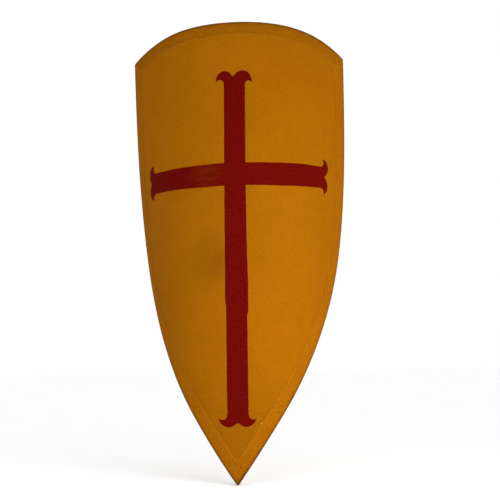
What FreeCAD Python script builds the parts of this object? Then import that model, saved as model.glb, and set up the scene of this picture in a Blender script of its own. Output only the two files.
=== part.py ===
import FreeCAD, Part
import os
import Sketcher
from math import sin, cos, tan, atan, atan2, asin, sqrt, pi, radians, degrees

# A curved, pointed shield: a laminated wooden board bent to an oblique cone, faced with canvas, lined at the
# back, bound along its rim, with a painted cross on the front and arm straps, a pad and rings at the back.
#
# Board coordinates: the centre line of the face runs straight up through x = 0, y = 0; z = 0 is the point where
# the two side edges would meet; -Y is the front and +Y the hollow side. The row's origin is the hand grip.
# A place on the board is (arc, z, depth): arc is the distance round the face from the centre line, measured on
# the canvas face, and depth is the distance inwards from that face.

V = FreeCAD.Vector
doc = FreeCAD.newDocument("shield")
sheet = doc.addObject("Spreadsheet::Sheet", "Dims")

DIMS = [
    ("board_height", 860.0, "tip to crown of the top edge on the centre line"),
    ("face_radius", 206.8, "radius of the face at half height"),
    ("radius_growth", 69.2, "growth of that radius from half height to full height"),
    ("half_arc_a", 30.3, "half width round the face at z 43"),
    ("half_arc_b", 66.2, "at z 94.6"),
    ("half_arc_c", 108.7, "at z 154.8"),
    ("half_arc_d", 152.5, "at z 223.6"),
    ("half_arc_e", 194.9, "at z 301"),
    ("half_arc_f", 225.6, "at z 378.4"),
    ("half_arc_g", 241.1, "at z 455.8"),
    ("half_arc_i", 246.0, "at z 533.2"),
    ("half_arc_j", 246.0, "at z 610.6"),
    ("half_arc_k", 243.0, "at z 688"),
    ("half_arc_l", 238.8, "at z 774"),
    ("crown_span", 223.6, "arc at which the top edge's drop terms are given"),
    ("crown_two", 21.5, "drop of the top edge, second-order term"),
    ("crown_four", 40.1, "fourth-order term"),
    ("crown_six", -14.8, "sixth-order term"),
    ("corner_lift", 11.2, "the left-hand corner stands this much over the even arch"),
    ("corner_lift_from", 146.0, "arc left of the centre line where that lift starts"),
    ("corner_lift_span", 92.0, "from there to the corner"),
    ("ply_thickness", 2.7, "each of the three plies"),
    ("glue_line", 0.1, "between plies and under the cloth"),
    ("facing_thickness", 0.8, "canvas with its ground and paint"),
    ("lining_thickness", 0.8, "linen at the back"),
    ("paint_thickness", 0.25, "build of the red paint"),
    ("binding_width", 25.9, "flange of the rim binding on each side"),
    ("binding_thickness", 1.0, "rim binding"),
    ("binding_round", 3.0, "outer radius of the binding over the edge"),
    ("binding_seam", -97.0, "arc of the butt seam in the top binding"),
    ("tip_cut", 2.2, "height at which the bound tip is blunted"),
    ("strap_thickness", 3.4, "leather of the arm straps"),
    ("forearm_strap_width", 34.0, "forearm strap"),
    ("hand_strap_width", 32.0, "hand strap"),
    ("forearm_angle", 36.0, "degrees round the board, towards the elbow side"),
    ("forearm_level", 545.0, "middle of the forearm strap"),
    ("hand_angle", -33.0, "degrees round the board"),
    ("hand_level", 590.0, "middle of the hand strap"),
    ("forearm_rise", 66.0, "middle of the forearm strap's leather over the lining"),
    ("hand_rise", 45.0, "the same for the hand strap"),
    ("flank_angle", 75.0, "slope of the forearm strap's flanks"),
    ("hand_flank_angle", 62.0, "slope of the hand strap's flanks"),
    ("shank_radius", 2.4, "strap rivets"),
    ("rivet_clearance", 0.05, "round the shanks"),
    ("head_radius", 4.2, "flush rivet heads under the canvas"),
    ("tab_head_sink", 0.25, "further sinking of the tab rivets' heads, where the board curves away from the flat tab"),
    ("rove_radius", 6.5, "washers under the clenched ends"),
    ("rove_thickness", 1.2, "washers"),
    ("bar_radius", 2.0, "wire of the buckle frame"),
    ("pivot_clearance", 0.06, "radial clearance at the pivots"),
    ("buckle_inner", 36.6, "clear width of the buckle"),
    ("prong_radius", 1.4, "prong of the buckle"),
    ("ring_wire", 2.25, "wire radius of the rings"),
    ("ring_span", 37.0, "bar of a ring, between wire centres"),
    ("ring_drop", 8.0, "straight sides of a ring"),
    ("tab_width", 28.0, "leather tab of a ring"),
    ("tab_thickness", 2.6, "leather tab"),
    ("tab_angle", 38.0, "degrees round the board"),
    ("tab_level", 738.0, "pivot of the rings"),
    ("pad_half_width", 92.0, "arm pad, half arc"),
    ("pad_half_height", 74.0, "arm pad, half height"),
    ("pad_level", 568.0, "middle of the arm pad"),
    ("pad_bulge", 13.0, "height of the pad over its flange"),
    ("pad_leather", 1.4, "cover of the pad"),
    ("tack_head", 4.0, "dome radius of the pad's tacks"),
    ("tack_shank", 0.9, "shank radius of the tacks"),
]
for n, (alias, value, note) in enumerate(DIMS, 1):
    sheet.set("A%d" % n, note)
    sheet.set("B%d" % n, repr(value))
    sheet.setAlias("B%d" % n, alias)
doc.recompute()


def dim(alias):
    return float(sheet.get(alias))


H = dim("board_height")
CLEAR = 0.12


# ---------------------------------------------------------------- outline of the board
def natural_spline(xs, ys):
    """A smooth curve through the given points, and its slope."""
    n = len(xs)
    a, b, c, r = [0.0] * n, [1.0] * n, [0.0] * n, [0.0] * n
    for i in range(1, n - 1):
        h0, h1 = xs[i] - xs[i - 1], xs[i + 1] - xs[i]
        a[i], b[i], c[i] = h0, 2 * (h0 + h1), h1
        r[i] = 6 * ((ys[i + 1] - ys[i]) / h1 - (ys[i] - ys[i - 1]) / h0)
    for i in range(1, n):
        f = a[i] / b[i - 1]
        b[i] -= f * c[i - 1]
        r[i] -= f * r[i - 1]
    m = [0.0] * n
    m[-1] = r[-1] / b[-1]
    for i in range(n - 2, -1, -1):
        m[i] = (r[i] - c[i] * m[i + 1]) / b[i]

    def at(x):
        i = 0
        while i < n - 2 and x > xs[i + 1]:
            i += 1
        h = xs[i + 1] - xs[i]
        p, q = (xs[i + 1] - x) / h, (x - xs[i]) / h
        y = p * ys[i] + q * ys[i + 1] + ((p**3 - p) * m[i] + (q**3 - q) * m[i + 1]) * h * h / 6
        d = (ys[i + 1] - ys[i]) / h + ((1 - 3 * p * p) * m[i] + (3 * q * q - 1) * m[i + 1]) * h / 6
        return y, d

    return at


LEVELS = [0.0, 43.0, 94.6, 154.8, 223.6, 301.0, 378.4, 455.8, 533.2, 610.6, 688.0, 774.0]
LEVELS = [v * H / 860.0 for v in LEVELS]
half_arc = natural_spline(LEVELS, [0.0] + [dim("half_arc_" + c) for c in "abcdefgijkl"])


def crown(s):
    """Height of the top edge at arc s: an even arch, but with the left-hand corner lifted."""
    q = (s / dim("crown_span")) ** 2
    lift = max(0.0, (-s - dim("corner_lift_from")) / dim("corner_lift_span"))
    return H - dim("crown_two") * q - dim("crown_four") * q * q - dim("crown_six") * q**3 + dim("corner_lift") * lift**2


def crown_slope(s):
    g = dim("crown_span")
    q = (s / g) ** 2
    lift = max(0.0, (-s - dim("corner_lift_from")) / dim("corner_lift_span"))
    even = -(dim("crown_two") + 2 * dim("crown_four") * q + 3 * dim("crown_six") * q * q) * 2 * s / g / g
    return even - 2 * dim("corner_lift") * lift / dim("corner_lift_span")


def radius(z):
    return dim("face_radius") + dim("radius_growth") * (z - H / 2) / (H / 2)


def on_board(s, z, o):
    """The point at arc s and height z, at depth o behind the canvas face."""
    r = radius(z)
    t = s / r
    return V((r - o) * sin(t), r - (r - o) * cos(t), z)


def side_in(z, d):
    """The point d inside the right-hand side edge, square to it, from the edge's height z."""
    w, k = half_arc(z)
    n = sqrt(1 + k * k)
    return w - d / n, z + d * k / n


def top_in(s, d):
    k = crown_slope(s)
    n = sqrt(1 + k * k)
    return s + d * k / n, crown(s) - d / n


def root(f, lo, hi):
    a = f(lo)
    for _ in range(80):
        mid = (lo + hi) / 2
        b = f(mid)
        if (a < 0) == (b < 0):
            lo, a = mid, b
        else:
            hi = mid
    return (lo + hi) / 2


def top_height_at(s, d):
    """Height of the line d inside the top edge, at arc s."""
    t = root(lambda q: top_in(q, d)[0] - s, 0.0, 300.0 if s > 0 else -300.0) if s else 0.0
    return top_in(t, d)[1]


def corner(d, sign):
    """Side edge height z and top arc s whose lines d inside the edge meet at the corner, sign -1 left and 1 right."""
    z = root(lambda q: side_in(q, d)[1] - top_height_at(sign * side_in(q, d)[0], d), 700.0 * H / 860, 870.0 * H / 860)
    s = root(lambda q: top_in(q, d)[0] - sign * side_in(z, d)[0], 0.0, sign * 300.0)
    return z, s


# depths of the layers behind the canvas face
GL, PLY = dim("glue_line"), dim("ply_thickness")
FACE_BACK = dim("facing_thickness")
P1 = FACE_BACK + GL
P2 = P1 + PLY + GL
P3 = P2 + PLY + GL
LIN = P3 + PLY + GL
BACK = LIN + dim("lining_thickness")
RIM_BACK = BACK + GL + dim("binding_thickness")

# the row's origin: the middle of the hand strap's grip
HAND = radians(dim("hand_angle"))


def frame_at(angle, z, level=False):
    """Local axes on the hollow side: x up the board's straight ruling, y round the board, z square out of the
    lining. With level set, y is horizontal instead and x is square to it."""
    p = on_board(angle * radius(z), z, BACK)
    g = dim("radius_growth") / (H / 2)
    a = V(g * sin(angle), g * (1 - cos(angle)), 1)
    a.normalize()
    c = V(cos(angle), sin(angle), 0)
    b = a.cross(c)
    b.normalize()
    if level:
        a = c.cross(b)
    else:
        c = b.cross(a)
    return p, a, c, b


_p, _a, _c, _b = frame_at(HAND, dim("hand_level"))
ORIGIN = _p + _b * (dim("hand_rise") * 0.50)
SHIFT = V(-ORIGIN.x, -ORIGIN.y, -ORIGIN.z)


def place(angle, z, up=0.0, round_=0.0, out=0.0, turn=0.0, level=False):
    """Placement of a piece made in the local axes of frame_at, moved and then turned about its local y."""
    p, a, c, b = frame_at(angle, z, level)
    q = p + a * up + c * round_ + b * out + SHIFT
    m = FreeCAD.Matrix(a.x, c.x, b.x, q.x, a.y, c.y, b.y, q.y, a.z, c.z, b.z, q.z, 0, 0, 0, 1)
    pl = FreeCAD.Placement(m)
    if turn:
        pl = pl.multiply(FreeCAD.Placement(V(0, 0, 0), FreeCAD.Rotation(V(0, 1, 0), turn)))
    return pl


NODES = []


def keep(obj, label):
    obj.Label = label
    NODES.append(obj)
    return obj


def feature(label, shape, placement=None):
    f = doc.addObject("Part::Feature", label)
    f.Shape = shape
    f.Placement = placement if placement is not None else FreeCAD.Placement(SHIFT, FreeCAD.Rotation())
    return keep(f, label)


# ---------------------------------------------------------------- sheets that follow the board
def to_solid(faces, what):
    shell = Part.Shell(faces)
    shell.sewShape()
    solid = Part.Solid(shell)
    if solid.Volume < 0:
        solid.reverse()
    if not solid.isValid():
        solid.fix(1e-4, 1e-4, 1e-3)
    if not solid.isValid() or not shell.isClosed() or solid.Volume <= 0:
        raise RuntimeError("open or bad solid: " + what)
    return solid


def sheet_solid(outer, inner, what):
    """A closed sheet between two grids of points, rows up the board and columns round it."""
    so, si = Part.BSplineSurface(), Part.BSplineSurface()
    so.interpolate(outer)
    si.interpolate(inner)
    fo, fi = so.toShape(), si.toShape()

    def edges(surf):
        u0, u1, v0, v1 = surf.bounds()
        return [surf.uIso(u0), surf.uIso(u1), surf.vIso(v0), surf.vIso(v1)]

    faces = [fo, fi]
    for a, b in zip(edges(so), edges(si)):
        faces.append(Part.makeRuledSurface(a.toShape(), b.toShape()))
    return to_solid(faces, what)


ROWS, COLS = 30, 22
TIP_HALF = 2.0


def layer_grid(inset, o):
    """Points over the whole board, inset from its outline, at depth o."""
    left, right = corner(inset, -1)[0], corner(inset, 1)[0]
    (s_l, z_l), (s_r, z_r) = side_in(left, inset), side_in(right, inset)
    zt = root(lambda q: side_in(q, inset)[0] - TIP_HALF, 0.5, 60.0)
    z_b = side_in(zt, inset)[1]
    across = []
    for j in range(COLS + 1):
        u = -1 + 2 * j / COLS
        t = (1 + u) / 2
        z_c = z_l + (z_r - z_l) * t
        across.append((u, t, top_height_at(u * (s_l + (s_r - s_l) * t), inset) - z_c, z_c))
    pts = []
    for i in range(ROWS + 1):
        v = i / ROWS
        k = 0.35 * v + 0.65 * v**1.25 if v < 1 else 1.0
        (sa, za), (sb, zb) = side_in(zt + (left - zt) * k, inset), side_in(zt + (right - zt) * k, inset)
        row = []
        for u, t, rise, z_c in across:
            z = za + (zb - za) * t
            row.append(on_board(u * (sa + (sb - sa) * t), z + rise * ((z - z_b) / (z_c - z_b)) ** 2, o))
        pts.append(row)
    return pts


def board_layer(inset, o0, o1, what):
    return sheet_solid(layer_grid(inset, o0), layer_grid(inset, o1), what)


# rivets that pass through the board: (angle, height, up, round, level axes)
def strap_path(rise, half_crown, flank, r_crown, r_foot, base):
    """Distances up the strap from its middle: end of the flat crown, foot of the flank, and the flank's length."""
    f = radians(flank)
    drop = rise - base
    length = (drop - (r_crown + r_foot) * (1 - cos(f))) / sin(f)
    foot = half_crown + (r_crown + r_foot) * sin(f) + length * cos(f)
    return length, foot


T = dim("strap_thickness")
BASE = 0.80 + CLEAR + T / 2
R_CROWN, R_FOOT = 20.0, 10.0
FORE_UP, FORE_LOW = 38.0, 34.0
FORE_PAD, HAND_PAD = 40.0, 36.0
HAND_CROWN = 24.0
R_HAND = 16.0
fore_flank, fore_foot = strap_path(dim("forearm_rise"), 0.0, dim("flank_angle"), R_CROWN, R_FOOT, BASE)
hand_flank, hand_foot = strap_path(dim("hand_rise"), HAND_CROWN, dim("hand_flank_angle"), R_HAND, R_FOOT, BASE)
# the lower half of the forearm strap lies one thickness nearer the arm
LOW_STEP = T + 0.3
low_flank, low_foot = strap_path(dim("forearm_rise") - LOW_STEP, 0.0, dim("flank_angle"), R_CROWN, R_FOOT, BASE)
FORE = radians(dim("forearm_angle"))
TAB = radians(dim("tab_angle"))

STRAP_RIVETS = []
for e in (10.0, 30.0):
    STRAP_RIVETS.append((FORE, dim("forearm_level"), FORE_UP + fore_foot + e, 0.0, False))
    STRAP_RIVETS.append((FORE, dim("forearm_level"), -(FORE_LOW + low_foot + e), 0.0, False))
    for sgn in (1, -1):
        STRAP_RIVETS.append((HAND, dim("hand_level"), sgn * (hand_foot + 0.9 * e), 0.0, False))
TAB_RIVETS = []
for sgn in (1, -1):
    for side in (-1, 1):
        TAB_RIVETS.append((sgn * TAB, dim("tab_level"), 24.0, 7.0 * side, True))

BORE = dim("shank_radius") + dim("rivet_clearance")


def bore_tools(countersunk):
    """Holes for the rivets, in board coordinates."""
    hr = dim("head_radius") + 0.05
    out = []
    for places, sink in ((STRAP_RIVETS, 0.0), (TAB_RIVETS, dim("tab_head_sink"))):
        seat = -(BACK - P1) + sink + 0.45
        if countersunk:
            outline = [(0, -12.0), (hr, -12.0), (hr, seat), (BORE, seat + hr - BORE), (BORE, 3.0), (0, 3.0)]
        else:
            outline = [(0, -13.0), (BORE, -13.0), (BORE, 3.0), (0, 3.0)]
        pts = [V(x, 0, z) for x, z in outline]
        tool = Part.Face(Part.makePolygon(pts + pts[:1])).revolve(V(0, 0, 0), V(0, 0, 1), 360)
        for angle, z, up, round_, level in places:
            s = tool.copy()
            s.Placement = FreeCAD.Placement(SHIFT.negative(), FreeCAD.Rotation()).multiply(place(angle, z, up=up, round_=round_, level=level))
            out.append(s)
    return out


def drilled(solid, countersunk, what):
    out = solid
    for tool in bore_tools(countersunk):
        faces = len(out.Faces)
        out = out.cut(tool)
        if len(out.Solids) != 1 or len(out.Faces) <= faces or not out.isValid():
            raise RuntimeError("a bore missed " + what)
        out = out.Solids[0]
    if any(f.Surface.TypeId == "Part::GeomPlane" for f in out.Faces):
        raise RuntimeError("the end of a tool stayed in " + what)
    return out


BIND = dim("binding_thickness")
ply_front = drilled(board_layer(BIND + 0.4, P1, P1 + PLY, "front ply"), True, "front ply")
ply_middle = drilled(board_layer(BIND + 0.1, P2, P2 + PLY, "middle ply"), False, "middle ply")
ply_back = drilled(board_layer(BIND + 0.4, P3, P3 + PLY, "back ply"), False, "back ply")
feature("core_ply_front", ply_front)
feature("core_ply_middle", ply_middle)
feature("core_ply_back", ply_back)
feature("canvas_facing", board_layer(dim("binding_round") + 0.05, 0.0, FACE_BACK, "facing"))
feature("back_lining", drilled(board_layer(dim("binding_round") + 0.05, LIN, BACK, "lining"), False, "lining"))


# ---------------------------------------------------------------- rim binding
def binding_section():
    """(distance in from the edge, depth) along the outside and the inside of the folded strip."""
    w, t, r = dim("binding_width"), dim("binding_thickness"), dim("binding_round")
    front, back = -GL, BACK + GL
    outer, inner = [], []
    for i in range(5):
        x = w + (r - w) * i / 4
        outer.append((x, front - t))
        inner.append((x, front))
    for deg in (22.5, 45.0, 67.5, 90.0):
        a = radians(deg)
        outer.append((r - r * sin(a), front - t + r - r * cos(a)))
        inner.append((r - (r - t) * sin(a), front + (r - t) - (r - t) * cos(a)))
    for deg in (90.0, 67.5, 45.0, 22.5):
        a = radians(deg)
        outer.append((r - r * sin(a), back + t - r + r * cos(a)))
        inner.append((r - (r - t) * sin(a), back - (r - t) + (r - t) * cos(a)))
    for i in range(5):
        x = r + (w - r) * i / 4
        outer.append((x, back + t))
        inner.append((x, back))
    return outer, inner


def strip_solid(lines_outer, lines_inner, what):
    """A folded strip from lines of points that run along it."""
    n = len(lines_outer[0])
    par = [i / (n - 1) for i in range(n)]

    def edge(pts):
        c = Part.BSplineCurve()
        c.interpolate(Points=pts, Parameters=par)
        return c.toShape()

    eo = [edge(x) for x in lines_outer]
    ei = [edge(x) for x in lines_inner]
    faces = []
    for es in (eo, ei):
        for a, b in zip(es[:-1], es[1:]):
            faces.append(Part.makeRuledSurface(a, b))
    faces.append(Part.makeRuledSurface(eo[0], ei[0]))
    faces.append(Part.makeRuledSurface(eo[-1], ei[-1]))
    for k in (0, -1):
        for j in range(len(lines_outer) - 1):
            a = Part.makeLine(lines_outer[j][k], lines_outer[j + 1][k])
            b = Part.makeLine(lines_inner[j][k], lines_inner[j + 1][k])
            faces.append(Part.makeRuledSurface(a, b))
    return to_solid(faces, what)


STATIONS = 36


def side_line(d, o, sign):
    zc, _ = corner(d, sign)
    z0 = root(lambda q: side_in(q, d)[0] - 0.06, -6.0, 120.0)
    zc -= 0.06
    out = []
    for i in range(STATIONS + 1):
        s, z = side_in(z0 + (zc - z0) * i / STATIONS, d)
        out.append(on_board(sign * s, z, o))
    return out


def top_line(d, o, s_from, s_to):
    """Along the top edge; None stands for the mitre at that side's corner."""
    lo = corner(d, -1)[1] + 0.06 if s_from is None else root(lambda q: top_in(q, d)[0] - s_from, -300.0, 300.0)
    hi = corner(d, 1)[1] - 0.06 if s_to is None else root(lambda q: top_in(q, d)[0] - s_to, -300.0, 300.0)
    out = []
    for i in range(STATIONS + 1):
        s, z = top_in(lo + (hi - lo) * i / STATIONS, d)
        out.append(on_board(s, z, o))
    return out


sec_out, sec_in = binding_section()
blunt = Part.makeBox(60, 60, 30, V(-30, -30, dim("tip_cut") - 30))
for name, sign in (("binding_side_left", -1), ("binding_side_right", 1)):
    strip = strip_solid([side_line(d, o, sign) for d, o in sec_out], [side_line(d, o, sign) for d, o in sec_in], name)
    feature(name, strip.cut(blunt).Solids[0])
SEAM = dim("binding_seam")
for name, lo, hi in (("binding_top_left", None, SEAM - 0.08), ("binding_top_right", SEAM + 0.08, None)):
    strip = strip_solid([top_line(d, o, lo, hi) for d, o in sec_out], [top_line(d, o, lo, hi) for d, o in sec_in], name)
    feature(name, strip)


# ---------------------------------------------------------------- sketch helpers
def origin_plane(body, role):
    return [f for f in body.Origin.OriginFeatures if f.Role == role][0]


def new_sketch(body, name, role, offset=None):
    sk = body.newObject("Sketcher::SketchObject", name)
    sk.AttachmentSupport = (origin_plane(body, role), [""])
    sk.MapMode = "FlatFace"
    if offset is not None:
        sk.AttachmentOffset = offset
    return sk


def sketch_loop(sk, items):
    """Adds a closed chain of lines, arcs and curves and joins their ends."""
    ids = []
    for kind, geo, ends in items:
        ids.append((sk.addGeometry(geo, False), ends))
    for (i, e), (j, f) in zip(ids, ids[1:] + ids[:1]):
        sk.addConstraint(Sketcher.Constraint("Coincident", i, e[1], j, f[0]))
    return [i for i, _ in ids]


def line_item(p, q):
    return ("line", Part.LineSegment(V(p[0], p[1], 0), V(q[0], q[1], 0)), (1, 2))


def polygon_items(pts):
    return [line_item(a, b) for a, b in zip(pts, pts[1:] + pts[:1])]


def ribbon_items(start, heading, moves, thick):
    """Outline of a strip of leather seen from its edge: straight runs ('L', length) and bends ('A', radius, turn)."""
    x, y, h = start[0], start[1], radians(heading)
    left, right = [], []
    for m in moves:
        n = (-sin(h), cos(h))
        if m[0] == "L":
            x2, y2 = x + m[1] * cos(h), y + m[1] * sin(h)
            left.append(line_item((x + n[0] * thick / 2, y + n[1] * thick / 2), (x2 + n[0] * thick / 2, y2 + n[1] * thick / 2)))
            right.append(line_item((x2 - n[0] * thick / 2, y2 - n[1] * thick / 2), (x - n[0] * thick / 2, y - n[1] * thick / 2)))
            x, y = x2, y2
        else:
            r, turn = m[1], radians(m[2])
            k = 1 if turn > 0 else -1
            cx, cy = x + k * n[0] * r, y + k * n[1] * r
            a0 = atan2(y - cy, x - cx)
            a1 = a0 + turn
            c = V(cx, cy, 0)
            rl, rr = r - k * thick / 2, r + k * thick / 2
            lo, hi = min(a0, a1), max(a0, a1)
            gl = Part.ArcOfCircle(Part.Circle(c, V(0, 0, 1), rl), lo, hi)
            gr = Part.ArcOfCircle(Part.Circle(c, V(0, 0, 1), rr), lo, hi)
            left.append(("arc", gl, (1, 2) if k > 0 else (2, 1)))
            right.append(("arc", gr, (2, 1) if k > 0 else (1, 2)))
            x, y, h = cx + r * cos(a1), cy + r * sin(a1), h + turn
    n = (-sin(h), cos(h))
    n0 = (-sin(radians(heading)), cos(radians(heading)))
    cap = line_item((x + n[0] * thick / 2, y + n[1] * thick / 2), (x - n[0] * thick / 2, y - n[1] * thick / 2))
    cap0 = line_item(
        (start[0] - n0[0] * thick / 2, start[1] - n0[1] * thick / 2),
        (start[0] + n0[0] * thick / 2, start[1] + n0[1] * thick / 2),
    )
    return left + [cap] + right[::-1] + [cap0], (x, y, degrees(h)), len(left)


def symmetric(pad):
    pad.SideType = "Symmetric"


def ribbon_body(label, start, heading, moves, thick, width_cell, thick_cell):
    body = doc.addObject("PartDesign::Body", label)
    sk = new_sketch(body, label + "_edge", "XZ_Plane")
    items, end, cap = ribbon_items(start, heading, moves, thick)
    ids = sketch_loop(sk, items)
    c = sk.addConstraint(Sketcher.Constraint("Distance", ids[-1], thick))
    sk.renameConstraint(c, "leather")
    sk.setExpression("Constraints.leather", "Dims." + thick_cell)
    pad = body.newObject("PartDesign::Pad", label + "_strip")
    pad.Profile = sk
    pad.setExpression("Length", "Dims." + width_cell)
    symmetric(pad)
    doc.recompute()
    keep(body, label)
    return body, end


def through_cut(body, label, loops, role="XY_Plane"):
    """Cuts closed loops right through a body, square to one of its planes."""
    doc.recompute()
    before = body.Shape.Volume
    sk = new_sketch(body, label + "_outline", role)
    for items in loops:
        sketch_loop(sk, items)
    cut = body.newObject("PartDesign::Pocket", label)
    cut.Profile = sk
    cut.SideType = "Symmetric"
    cut.Length = 500.0
    doc.recompute()
    if not body.Shape.Volume < before - 1e-3:
        raise RuntimeError("nothing was cut by " + label)
    return cut


def circle_loop(x, y, r):
    return [("circle", Part.Circle(V(x, y, 0), V(0, 0, 1), r), None)]


def punch(body, label, holes, radius_cells):
    """Round holes through a strap, sized from the sheet."""
    doc.recompute()
    before = body.Shape.Volume
    sk = new_sketch(body, label + "_outline", "XY_Plane")
    for i, (x, y, r) in enumerate(holes):
        g = sk.addGeometry(Part.Circle(V(x, y, 0), V(0, 0, 1), r), False)
        c = sk.addConstraint(Sketcher.Constraint("Radius", g, r))
        sk.renameConstraint(c, "hole%d" % i)
        if radius_cells:
            sk.setExpression("Constraints.hole%d" % i, radius_cells)
    cut = body.newObject("PartDesign::Pocket", label)
    cut.Profile = sk
    cut.SideType = "Symmetric"
    cut.Length = 500.0
    doc.recompute()
    if not body.Shape.Volume < before - 1e-3:
        raise RuntimeError("nothing was punched by " + label)


def slot_items(x0, x1, half, y=0.0):
    """A slot along x with round ends."""
    a0, a1 = V(x0 + half, y, 0), V(x1 - half, y, 0)
    return [
        ("line", Part.LineSegment(V(a0.x, y + half, 0), V(a1.x, y + half, 0)), (1, 2)),
        ("arc", Part.ArcOfCircle(Part.Circle(a1, V(0, 0, 1), half), -pi / 2, pi / 2), (2, 1)),
        ("line", Part.LineSegment(V(a1.x, y - half, 0), V(a0.x, y - half, 0)), (1, 2)),
        ("arc", Part.ArcOfCircle(Part.Circle(a0, V(0, 0, 1), half), pi / 2, 3 * pi / 2), (2, 1)),
    ]


HOLE = "Dims.shank_radius + Dims.rivet_clearance"

# ---------------------------------------------------------------- the painted cross
cross = doc.addObject("PartDesign::Body", "painted_cross")
PAINT = dim("paint_thickness")
Z_LOW, Z_HIGH = 96.0 * H / 860, 776.0 * H / 860
PAINT_ANGLE = radians(54.0)
for i, z in enumerate((Z_LOW, Z_HIGH)):
    sk = new_sketch(cross, "paint_section_%d" % i, "XY_Plane", FreeCAD.Placement(V(0, 0, z), FreeCAD.Rotation()))
    r, c = radius(z), V(0, radius(z), 0)
    lo, hi = -pi / 2 - PAINT_ANGLE, -pi / 2 + PAINT_ANGLE
    ro, ri = r + 0.02 + PAINT, r + 0.02
    arc_o = Part.ArcOfCircle(Part.Circle(c, V(0, 0, 1), ro), lo, hi)
    arc_i = Part.ArcOfCircle(Part.Circle(c, V(0, 0, 1), ri), lo, hi)
    e = lambda rad, a: (c.x + rad * cos(a), c.y + rad * sin(a))
    sketch_loop(sk, [("arc", arc_o, (1, 2)), line_item(e(ro, hi), e(ri, hi)), ("arc", arc_i, (2, 1)), line_item(e(ri, lo), e(ro, lo))])
loft = cross.newObject("PartDesign::AdditiveLoft", "paint_film")
loft.Profile = doc.getObject("paint_section_0")
loft.Sections = [doc.getObject("paint_section_1")]
loft.Ruled = True
doc.recompute()


def flat(s, z):
    """Front view of a place on the face."""
    k = H / 860.0
    p = on_board(s * k, z * k, 0.0)
    return (p.x, p.z)


# the cross as it lies on the face: (arc, height), each list one smooth curve or one run of straight lines
TOP_LEFT = [(-14.8, 738.0), (-15.6, 743.8), (-18.3, 747.6), (-22.5, 748.8), (-26.2, 747.8), (-29.6, 744.6)]
TOP_LOBE_L = [(-29.6, 744.6), (-29.3, 751.2), (-27.3, 757.0), (-23.1, 761.9), (-18.1, 765.0), (-13.4, 765.8), (-7.5, 764.4), (-2.5, 760.6), (0.8, 756.6), (3.2, 754.8)]
TOP_LOBE_R = [(3.2, 754.8), (6.3, 758.3), (11.3, 763.0), (17.5, 765.5), (23.1, 765.6), (28.8, 763.6), (33.2, 759.3), (36.4, 753.2), (38.1, 747.5), (38.4, 742.0)]
TOP_RIGHT = [(38.4, 742.0), (35.2, 744.6), (31.9, 745.9), (28.7, 745.2), (26.4, 743.0), (25.2, 737.6)]
RIGHT_TOP = [(174.0, 588.6), (179.3, 589.3), (182.7, 592.6), (183.2, 597.0), (181.8, 600.0), (179.6, 602.4)]
RIGHT_LOBE_T = [(179.6, 602.4), (185.7, 601.6), (190.2, 598.6), (193.7, 592.9), (195.3, 586.0), (194.4, 580.0), (191.4, 575.0), (188.2, 571.5), (185.8, 569.2)]
RIGHT_LOBE_B = [(185.8, 569.2), (188.8, 565.6), (191.6, 561.2), (193.7, 555.2), (193.9, 549.0), (192.1, 542.8), (188.5, 538.4), (183.0, 535.4)]
RIGHT_BOT = [(183.0, 535.4), (184.4, 539.6), (182.9, 543.6), (179.3, 546.7), (173.6, 548.0)]
FOOT_RIGHT = [(21.7, 130.0), (22.3, 125.0), (23.9, 121.8), (27.5, 119.4), (31.7, 118.7), (36.0, 120.6)]
FOOT_LOBE_R = [(36.0, 120.6), (33.3, 114.4), (29.8, 110.4), (23.9, 106.9), (17.3, 105.5), (10.3, 107.2), (5.7, 110.4), (3.0, 113.0)]
FOOT_LOBE_L = [(3.0, 113.0), (-2.4, 110.0), (-7.4, 106.9), (-13.8, 105.0), (-20.0, 105.8), (-25.2, 108.1), (-30.0, 112.3), (-34.0, 121.2)]
FOOT_LEFT = [(-34.0, 121.2), (-30.6, 119.2), (-26.2, 118.5), (-21.9, 119.3), (-19.3, 121.6), (-18.0, 125.2), (-17.3, 130.0)]
LEFT_BOT = [(-173.0, 548.2), (-179.3, 547.0), (-182.3, 544.8), (-184.2, 540.8), (-183.0, 535.6)]
LEFT_LOBE_B = [(-183.0, 535.6), (-190.7, 538.4), (-194.4, 542.1), (-196.4, 547.2), (-196.9, 553.6), (-195.7, 560.6), (-193.2, 565.4), (-190.8, 568.8)]
LEFT_LOBE_T = [(-190.8, 568.8), (-193.2, 571.8), (-195.7, 575.4), (-196.9, 580.9), (-195.8, 589.3), (-192.4, 596.2), (-187.9, 600.2), (-179.8, 602.6)]
LEFT_TOP = [(-179.8, 602.6), (-181.6, 597.1), (-181.2, 592.7), (-179.6, 589.4), (-174.5, 587.7)]
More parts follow.
